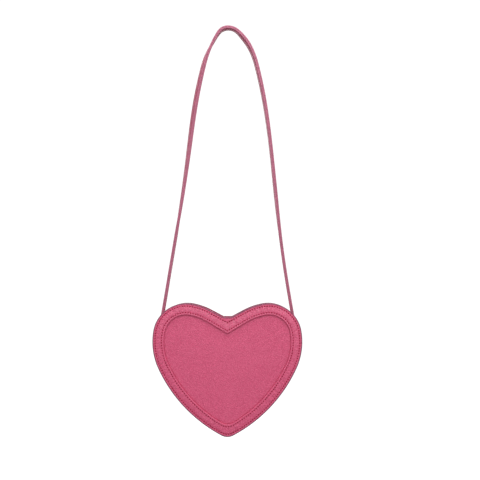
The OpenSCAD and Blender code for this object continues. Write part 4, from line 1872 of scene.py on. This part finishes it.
    def build(self, tool: RowTool, sewing: Sewing) -> list[bpy.types.Mesh]:
        """Makes all of the zip but its slider.

        Args:
            tool: sets the teeth along the line.
            sewing: makes the stitches.

        Returns:
            The rows of stitches on its tabs.
        """
        self.tapes()
        self.chain(tool)
        self.stops()
        return self.tabs(sewing)


@dataclass
class Slider:
    """The zip's slider and its hinged pull."""

    zip_of: Zip
    angle: float = 66.8322
    length: float = 9.4
    nose: float = 8.6
    tail: float = 8.2
    plate_t: float = 1.2
    lip_t: float = 0.6
    plate_z: float = -0.1
    lip_z: float = -0.95
    keel_z: float = -3.42
    keel_lip: float = -2.57
    wedge: float = 0.6
    pivot_z: float = 1.95
    bridge_w: float = 2.2
    bridge_t: float = 0.9
    pull_l: float = 21.0
    pull_w: float = 6.4
    pull_t: float = 1.3
    hole_r: float = 1.25
    gap: float = 0.2

    def outline(self) -> np.ndarray:
        """Plan of a plate, with its round tail at -X and its two cheeks at the nose.

        Returns:
            The points, in millimetres.
        """
        half, tail, nose = self.length / 2, self.tail / 2, self.nose / 2
        upper = np.array([
            (-half, tail - 1.3), (-half + 0.35, tail - 0.45), (-half + 1.2, tail), (0.4, tail),
            (2.3, nose), (3.7, nose), (4.4, nose - 0.5), (half, nose - 1.7), (half - 0.25, 1.6),
            (half - 0.55, 0.0),
        ])
        return np.concatenate([upper, upper[-2::-1] * np.array([1.0, -1.0])])

    def body(self) -> None:
        """Makes the slider's plates, lips, wedge and bridge as one piece."""
        plan = self.outline()
        top = self.plate_z + self.plate_t
        parts = [
            plate([plan], self.plate_z, top, 0.32),
            plate([plan], self.keel_z - self.plate_t, self.keel_z, 0.32),
        ]
        inner, outer, nose = self.tail / 2 - self.lip_t, self.tail / 2 - 0.05, self.nose / 2 - 0.05
        lip = [(-4.3, inner), (-4.3, outer), (0.4, outer), (2.3, nose), (3.8, nose), (3.8, inner)]
        for low, high in ((self.lip_z, self.plate_z + 0.25), (self.keel_z - 0.25, self.keel_lip)):
            for sign in (-1.0, 1.0):
                parts.append(plate([np.array(lip) * np.array([1.0, sign])], low, high, 0.12))
        shares = [(0.05, 0), (0.2, 1), (0.8, 1), (0.95, 0), (0.8, -1), (0.2, -1)]
        wedge = np.array([(s * self.length / 2, k * self.wedge / 2) for s, k in shares])
        parts.append(plate([wedge], self.keel_z - 0.2, self.plate_z + 0.2, 0.05))
        parts.append(self.bridge(top))
        mesh = joined(parts)
        mesh.transform(self.zip_of.local(self.angle))
        tidy(mesh, JOIN_SMALL)
        piece("zip_slider_metal", mesh, [METAL], "zip_slider", ["zip_slider"], crease=42.0)

    def bridge(self, top: float) -> bpy.types.Mesh:
        """The arch that holds the pull, in millimetres.

        Args:
            top: height of the upper plate's face.

        Returns:
            The mesh.
        """
        pin = self.pull_t / 2
        inside, roof = pin + 3 * self.gap, self.pivot_z + pin + self.gap
        out, cap = inside + self.bridge_t, roof + self.bridge_t
        low = top - 0.3
        outer = [(-out, low), (-out, cap - 0.75), (-out + 0.3, cap - 0.25), (-out + 0.9, cap)]
        outer += [(-x, z) for x, z in outer[::-1]]
        inner = [(inside, low), (inside, roof - 0.4), (inside - 0.35, roof), (-inside + 0.35, roof)]
        inner += [(-inside, roof - 0.4), (-inside, low)]
        mesh = plate([np.array(outer + inner)], -self.bridge_w / 2, self.bridge_w / 2, 0.16)
        mesh.transform(Matrix.Rotation(math.radians(90), 4, "X"))
        return mesh

    def pull(self) -> None:
        """Makes the pull with its window and its bar."""
        half = self.pull_w / 2
        end = self.pull_l - half
        waist = half * 0.80
        side = [
            (-3.9, half), (-6.5, half * 0.90), (-10.0, waist), (-14.0, half * 0.86),
            (-end + 0.6, half * 0.98),
        ]
        turns = np.radians(np.linspace(96, 180, 9))
        tipped = [(-end + half * math.cos(a), half * math.sin(a)) for a in turns]
        upper = [(-0.15, half)] + side + tipped
        plan = np.array(upper + [(x, -y) for x, y in upper[::-1] if y > 1e-6])
        reach = math.hypot(self.pull_t / 2 + 3 * self.gap + self.bridge_t, 1.75 + 0.2) + self.gap
        gap = self.bridge_w / 2 + self.gap
        window = np.array([
            (-0.35, gap), (-reach, gap), (-reach - 0.35, gap - 0.4), (-reach - 0.35, 0.4 - gap),
            (-reach, -gap), (-0.35, -gap),
        ])
        r, turns = self.hole_r, np.linspace(0, math.tau, 20)[:-1]
        hole = np.array([(-end + r * math.cos(a), r * math.sin(a)) for a in turns])
        blade = plate([plan, window[::-1], hole[::-1]], -self.pull_t / 2, self.pull_t / 2, 0.22)
        turns = np.linspace(0, math.tau, 25)[:-1]
        ring = np.stack([np.cos(turns), np.sin(turns)], 1) * (self.pull_t / 2)
        bar = plate([ring], -half, half, 0.12)
        bar.transform(Matrix.Rotation(math.radians(90), 4, "X"))
        mesh = joined([blade, bar])
        mesh.transform(Matrix.Translation((0, 0, self.pivot_z)))
        mesh.transform(self.zip_of.local(self.angle))
        tidy(mesh, JOIN_SMALL)
        piece("zip_pull_metal", mesh, [METAL], "zip_pull", ["zip_pull"], crease=42.0)

    def build(self) -> None:
        """Makes the slider and its pull."""
        self.body()
        self.pull()


# ---------------------------------------------------------------- strap


@dataclass
class Strap:
    """The long strap of two leathers, sewn to the wall at both ends."""

    plan: HeartPlan
    width: float = 12.0
    thick: float = 3.8
    crown_r: float = 18.6
    crown_turn: float = 50.0
    shoulder_r: float = 114.5
    shoulder_turn: float = 75.5
    lean: float = 10.0
    anchor: float = 42.1
    sewn: float = 27.0
    seat: float = 0.08
    row_in: float = 1.8
    swell: float = 0.2
    painted: float = 0.75
    drift: float = 3.6
    # The twist in degrees at depths under the loop's top, which are negative on the left leg.
    turns: tuple[tuple[float, float], ...] = (
        (-290.0, 0.0), (-250.0, 9.0), (-220.0, 12.0), (-192.0, 16.0), (-163.0, 20.0),
        (-130.0, 23.0), (-100.0, 24.0), (-75.0, 23.0), (-52.0, 21.0), (-38.0, 17.0),
        (-20.0, 4.0), (-8.0, 0.0), (0.0, -4.0), (10.0, -13.0), (20.0, -15.0), (30.0, -12.0),
        (50.0, -11.0), (100.0, -10.0), (130.0, -8.0), (165.0, -6.0), (240.0, -7.0),
        (300.0, 0.0),
    )

    def half(self) -> np.ndarray:
        """Middle line of the right half in the frame's millimetres, from the top of the loop.

        Returns:
            The points.
        """
        crown_c = np.array([0.0, self.thick / 2 - self.crown_r])
        shoulder_c = crown_c + (self.crown_r - self.shoulder_r) * direction(90 - self.crown_turn)
        start = shoulder_c + self.shoulder_r * direction(90 - self.shoulder_turn)
        foot = self.plan.lobe_c + self.plan.lobe_r * direction(self.anchor) + np.array([0.0, TIP])
        chord = float(np.linalg.norm(foot - start))
        down = direction(self.lean - 90)
        first = start + 0.27 * chord * direction(-self.shoulder_turn)
        handles = [start, first, foot - 0.6 * chord * down, foot]
        s = np.linspace(0, 1, 90)[:, None]
        shares = ((1 - s) ** 3, 3 * s * (1 - s) ** 2, 3 * s * s * (1 - s), s ** 3)
        leg = sum(w * h for w, h in zip(shares, handles))
        wall_r = self.plan.lobe_r - self.plan.rim + self.seat + self.thick / 2
        lobe_c = self.plan.lobe_c + np.array([0.0, TIP])
        side_c = self.plan.side_c + np.array([0.0, TIP])
        to = foot - lobe_c
        b = float(to @ down)
        reach = -b - math.sqrt(b * b - float(to @ to) + wall_r ** 2)
        land = foot + reach * down
        straight = foot + (land - foot) * np.linspace(0, 1, 8)[1:, None]
        angle = bearing(land - lobe_c)
        lobe_run = math.radians(angle - self.plan.lobe_side) * wall_r
        rest = self.sewn - lobe_run
        side_r = wall_r + self.plan.side_r - self.plan.lobe_r
        end = self.plan.lobe_side - math.degrees(rest / side_r)
        line = np.concatenate([
            arc(crown_c, self.crown_r, 90, 90 - self.crown_turn, 16),
            arc(shoulder_c, self.shoulder_r, 90 - self.crown_turn, 90 - self.shoulder_turn, 20)[1:],
            leg[1:], straight,
            arc(lobe_c, wall_r, angle, self.plan.lobe_side, 12)[1:],
            arc(side_c, side_r, self.plan.lobe_side, end, 6)[1:],
        ])
        at = np.linspace(0, lengths(line)[-1], 260)
        line = resample(line, at)
        foot_at = float(np.argmin(np.linalg.norm(line - land, axis=1)))
        near = bell(np.arange(len(line)) - foot_at, 5.0)[:, None]
        return line + (evened(line, 10) - line) * near

    def middle(self) -> tuple[np.ndarray, np.ndarray]:
        """The whole middle line from the left end to the right one.

        Returns:
            The points in millimetres, and the twist at each in degrees.
        """
        right = self.half()
        line = np.concatenate([twin(right)[:0:-1], right])
        depth = -line[:, 1]
        hang = smooth(depth / 40.0 + 0.35) * (1 - smooth((depth - 150.0) / 210.0))
        line[:, 0] += self.drift * hang
        hand = np.sign(np.arange(len(line)) - len(right) + 1)
        down, turned = np.array(self.turns).T
        return line, evened(np.interp(depth * hand, down, turned), 12)

    def frames(self) -> tuple[np.ndarray, np.ndarray, np.ndarray]:
        """Points, the way out of the loop and the way across the strap, at every station.

        Returns:
            The three, in millimetres and as unit vectors.
        """
        line, twist = self.middle()
        along = np.gradient(line, axis=0)
        along /= np.linalg.norm(along, axis=1, keepdims=True)
        out = upright(np.stack([-along[:, 1], along[:, 0]], 1))
        side = through(len(line), 1.0)
        turn = np.radians(twist)[:, None]
        facing = out * np.cos(turn) - side * np.sin(turn)
        across = side * np.cos(turn) + out * np.sin(turn)
        return upright(line), facing, across

    def build(self, sewing: Sewing) -> None:
        """Makes the two leathers, the paint on their edges and the rows of stitches.

        Args:
            sewing: makes the stitches.
        """
        points, out, across = self.frames()
        run = lengths(points)
        ends = np.minimum(run, run[-1] - run)
        taper = 1.0 - 0.22 * (1.0 - np.sqrt(np.clip(ends / 2.5, 0, 1)))
        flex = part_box("strap_outer")[0].z + self.width / 2 * MM
        half, thick = self.width / 2, self.thick / 2 + self.swell
        edge = half - 0.06
        row = half - self.row_in
        face = [
            (-edge, 0.12), (-half, 0.35), (-half, thick - 0.7), (-half + 0.22, thick - 0.2),
            (-half + 0.7, thick), (-row - 0.5, thick), (-row, thick - 0.3), (-row + 0.5, thick),
            (0.0, thick + 0.05),
        ]
        twins = [(-w, h) for w, h in face[-2::-1]]
        section = np.array(face + twins + [(edge - 0.3, 0.0), (-edge + 0.3, 0.0)])
        wide = np.abs(section[:, 0])
        paint = [int(w > half - self.painted) for w in np.minimum(wide, np.roll(wide, -1))]
        for node, sign in (("strap_outer", 1.0), ("strap_inner", -1.0)):
            w = section[:, 0][None, :, None] * taper[:, None, None]
            h = section[:, 1][None, :, None] * sign
            net = points[:, None, :] + across[:, None, :] * w + out[:, None, :] * h
            # Painted shade along the strap's rows of stitches.
            press = np.zeros(net.shape[:2]) + 0.4 * bell(np.abs(section[:, 0]) - row, 0.4)[None, :]
            shell = Shell()
            shell.grid(net * MM, closed=(False, True), paint=paint, press=press, caps=True)
            stands = [node] + (["strap_end_left", "strap_end_right"] if sign > 0 else [])
            made = shell.make(f"{node}_leather", [STRAP_LEATHER, STRAP_PAINT], "strap", stands)
            self.flexes(made, flex)
        rows = []
        for sign in (1.0, -1.0):
            clear = ends > (3.0 if sign > 0 else 34.0)
            for side in (-1.0, 1.0):
                line = points + across * (side * row) + out * (sign * (thick - 0.36))
                seed = int(71 + side + 2 * sign)
                rows.append(sewing.row(line[clear] * MM, out[clear] * sign, seed=seed))
        for place in (2.6, 23.0):
            for far in (False, True):
                at = run[-1] - place if far else place
                k = int(np.argmin(np.abs(run - at)))
                w = np.linspace(-row + 1.2, row - 1.2, 6)[:, None]
                line = points[k] + across[k] * w + out[k] * (thick + 0.02)
                rows.append(sewing.row(line * MM, np.tile(out[k], (6, 1)), seed=81))
        self.flexes(sewing.sew("strap_stitches", rows, "strap"), flex)

    def flexes(self, made: bpy.types.Object, level: float) -> None:
        """Lets a piece of the strap bend where it crosses the rim.

        Args:
            made: the piece.
            level: height of the fold, in metres.
        """
        made.parent = None
        made.matrix_world = Matrix.Identity(4)
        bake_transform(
            made, "strap", "bag", start=(0.0, 0.0, level + 0.010), end=(0.0, 0.0, level - 0.009),
        )


# ---------------------------------------------------------------- inside and studio


def dress_inside() -> None:
    """Gives the nodes inside the purse their finishes."""
    for finish, names in (
        (BOARD, ("front_board", "back_board", "strap_backers")),
        (LINING, ("lining_front", "lining_back", "lining_gusset")),
    ):
        for name in names:
            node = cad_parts[name]
            node.data.materials.clear()
            node.data.materials.append(material(finish))
            log.info("%s: CAD solid in %s", name, finish.name)


@dataclass
class Studio:
    """A pale sweep, soft lights and the camera."""

    floor: float = -0.86
    wall: float = 3.2
    bend: float = 0.9
    top: float = 5.0
    ambient: tuple[float, float] = (0.37, 0.79)
    camera: tuple[float, float, float] = (0.0167, -1.4, -0.361)
    lens: float = 73.55
    shift: float = 0.0878
    shift_side: float = 0.0015
    # Each light's name, place, side, power and the height that it looks at.
    lights: tuple[tuple[str, tuple[float, float, float], float, float, float], ...] = (
        ("top_softbox", (0.12, -0.55, 0.55), 0.8, 8.0, -0.45),
        ("front_softbox", (0.20, -2.2, 0.1), 1.8, 12.0, -0.45),
        ("left_fill", (-1.7, -0.8, -0.2), 1.2, 3.5, -0.45),
        ("right_fill", (1.7, -0.6, 0.0), 1.2, 3.5, -0.45),
        ("back_softbox", (-0.3, 2.1, 0.35), 1.8, 19.0, -0.4),
    )

    def sweep(self) -> None:
        """Makes the floor and the round wall as one sheet that the camera alone sees."""
        turns = np.radians(np.linspace(-90, 0, 16))
        round_r = self.wall - self.bend + self.bend * np.cos(turns)
        round_z = self.bend + self.bend * np.sin(turns)
        r = np.concatenate([[0.0, 0.8, 1.6], round_r, [self.wall]])
        z = np.concatenate([[0.0, 0.0, 0.0], round_z, [self.top]]) + self.floor
        angles = np.linspace(0, 360, 97)[:-1]
        rows = np.array([[(*(direction(angle) * a), b) for a, b in zip(r, z)] for angle in angles])
        shell = Shell()
        shell.grid(rows, closed=(True, False))
        mesh = shell.mesh("sweep")
        tidy(mesh, JOIN)
        mesh.polygons.foreach_set("use_smooth", [True] * len(mesh.polygons))
        mesh.materials.append(material(Paper()))
        made = added("sweep", mesh)
        made.visible_diffuse = False
        made.visible_glossy = False
        made.visible_shadow = False

    def light(
        self, name: str, at: tuple[float, float, float], size: float, power: float, aim: float,
    ) -> None:
        """Adds a soft square light that looks at the purse.

        Args:
            name: the light's name.
            at: where it stands.
            size: its side.
            power: its power in watts.
            aim: height of the point that it looks at.
        """
        lamp = bpy.data.lights.new(name, "AREA")
        lamp.size = size
        lamp.energy = power
        made = added(name, lamp)
        made.location = at
        made.rotation_euler = (Vector((0, 0, aim)) - Vector(at)).to_track_quat("-Z", "Y").to_euler()

    def surround(self) -> bpy.types.World:
        """The soft light from all round, which is weaker from below.

        Returns:
            The world that gives it.
        """
        world = bpy.data.worlds.new("studio")
        world.use_nodes = True
        nodes, links = world.node_tree.nodes, world.node_tree.links
        way = nodes.new("ShaderNodeTexCoord")
        parts = nodes.new("ShaderNodeSeparateXYZ")
        level = nodes.new("ShaderNodeMapRange")
        limits = ("From Min", "From Max", "To Min", "To Max")
        for name, value in zip(limits, (-1.0, 1.0, *self.ambient)):
            level.inputs[name].default_value = value
        links.new(way.outputs["Generated"], parts.inputs[0])
        links.new(parts.outputs["Z"], level.inputs["Value"])
        links.new(level.outputs[0], nodes["Background"].inputs["Strength"])
        nodes["Background"].inputs["Color"].default_value = (1.0, 1.0, 1.0, 1.0)
        return world

    def build(self) -> None:
        """Makes the stage, the lights and the camera."""
        self.sweep()
        for given in self.lights:
            self.light(*given)
        scene = bpy.context.scene
        scene.world = self.surround()
        scene.view_settings.view_transform = "Standard"
        lens = bpy.data.cameras.new("camera")
        lens.lens = self.lens
        lens.sensor_width = 36.0
        lens.sensor_fit = "HORIZONTAL"
        lens.shift_x = self.shift_side
        lens.shift_y = self.shift
        made = added("camera", lens)
        made.location = self.camera
        made.rotation_euler = (math.radians(90.0), 0.0, 0.0)
        scene.camera = made


def main() -> None:
    """Builds the purse and its studio."""
    logging.basicConfig(level=logging.INFO, format="%(message)s")
    plan = HeartPlan()
    fine = HeartPlan(step=0.9)
    tool = RowTool()
    sewing = Sewing(tool)
    Panel(plan, Side.FRONT).build()
    back_row, back_sunk = 3.6, 0.1
    Panel(plan, Side.BACK, crown=1.0, start=4.5, stitched=back_row).build()
    loop = plan.loop(back_row)
    around = sewing.row(lift(loop, FACE - back_sunk), through(len(loop), 1.0), closed=True, seed=17)
    sewing.sew("back_stitches", [around], "bag")
    Border(fine).build(sewing)
    inside, seam = 22.08, 23.4
    EdgeFilm(plan, Side.FRONT, 26.3, inside, (FACE, seam), reach=1.45).build()
    EdgeFilm(plan, Side.BACK, FACE, inside, (seam,)).build()
    Gusset(plan).build(sewing)
    rows = ZipStrip(plan, Side.FRONT).build(sewing) + ZipStrip(plan, Side.BACK).build(sewing)
    chain = Zip(plan)
    rows += chain.build(tool, sewing)
    sewing.sew("zip_section_stitches", rows, "bag")
    Slider(chain).build()
    Strap(plan).build(Sewing(tool, thick=0.42, thread=STRAP_THREAD))
    dress_inside()
    Studio().build()


if __name__ == "__main__":
    main()
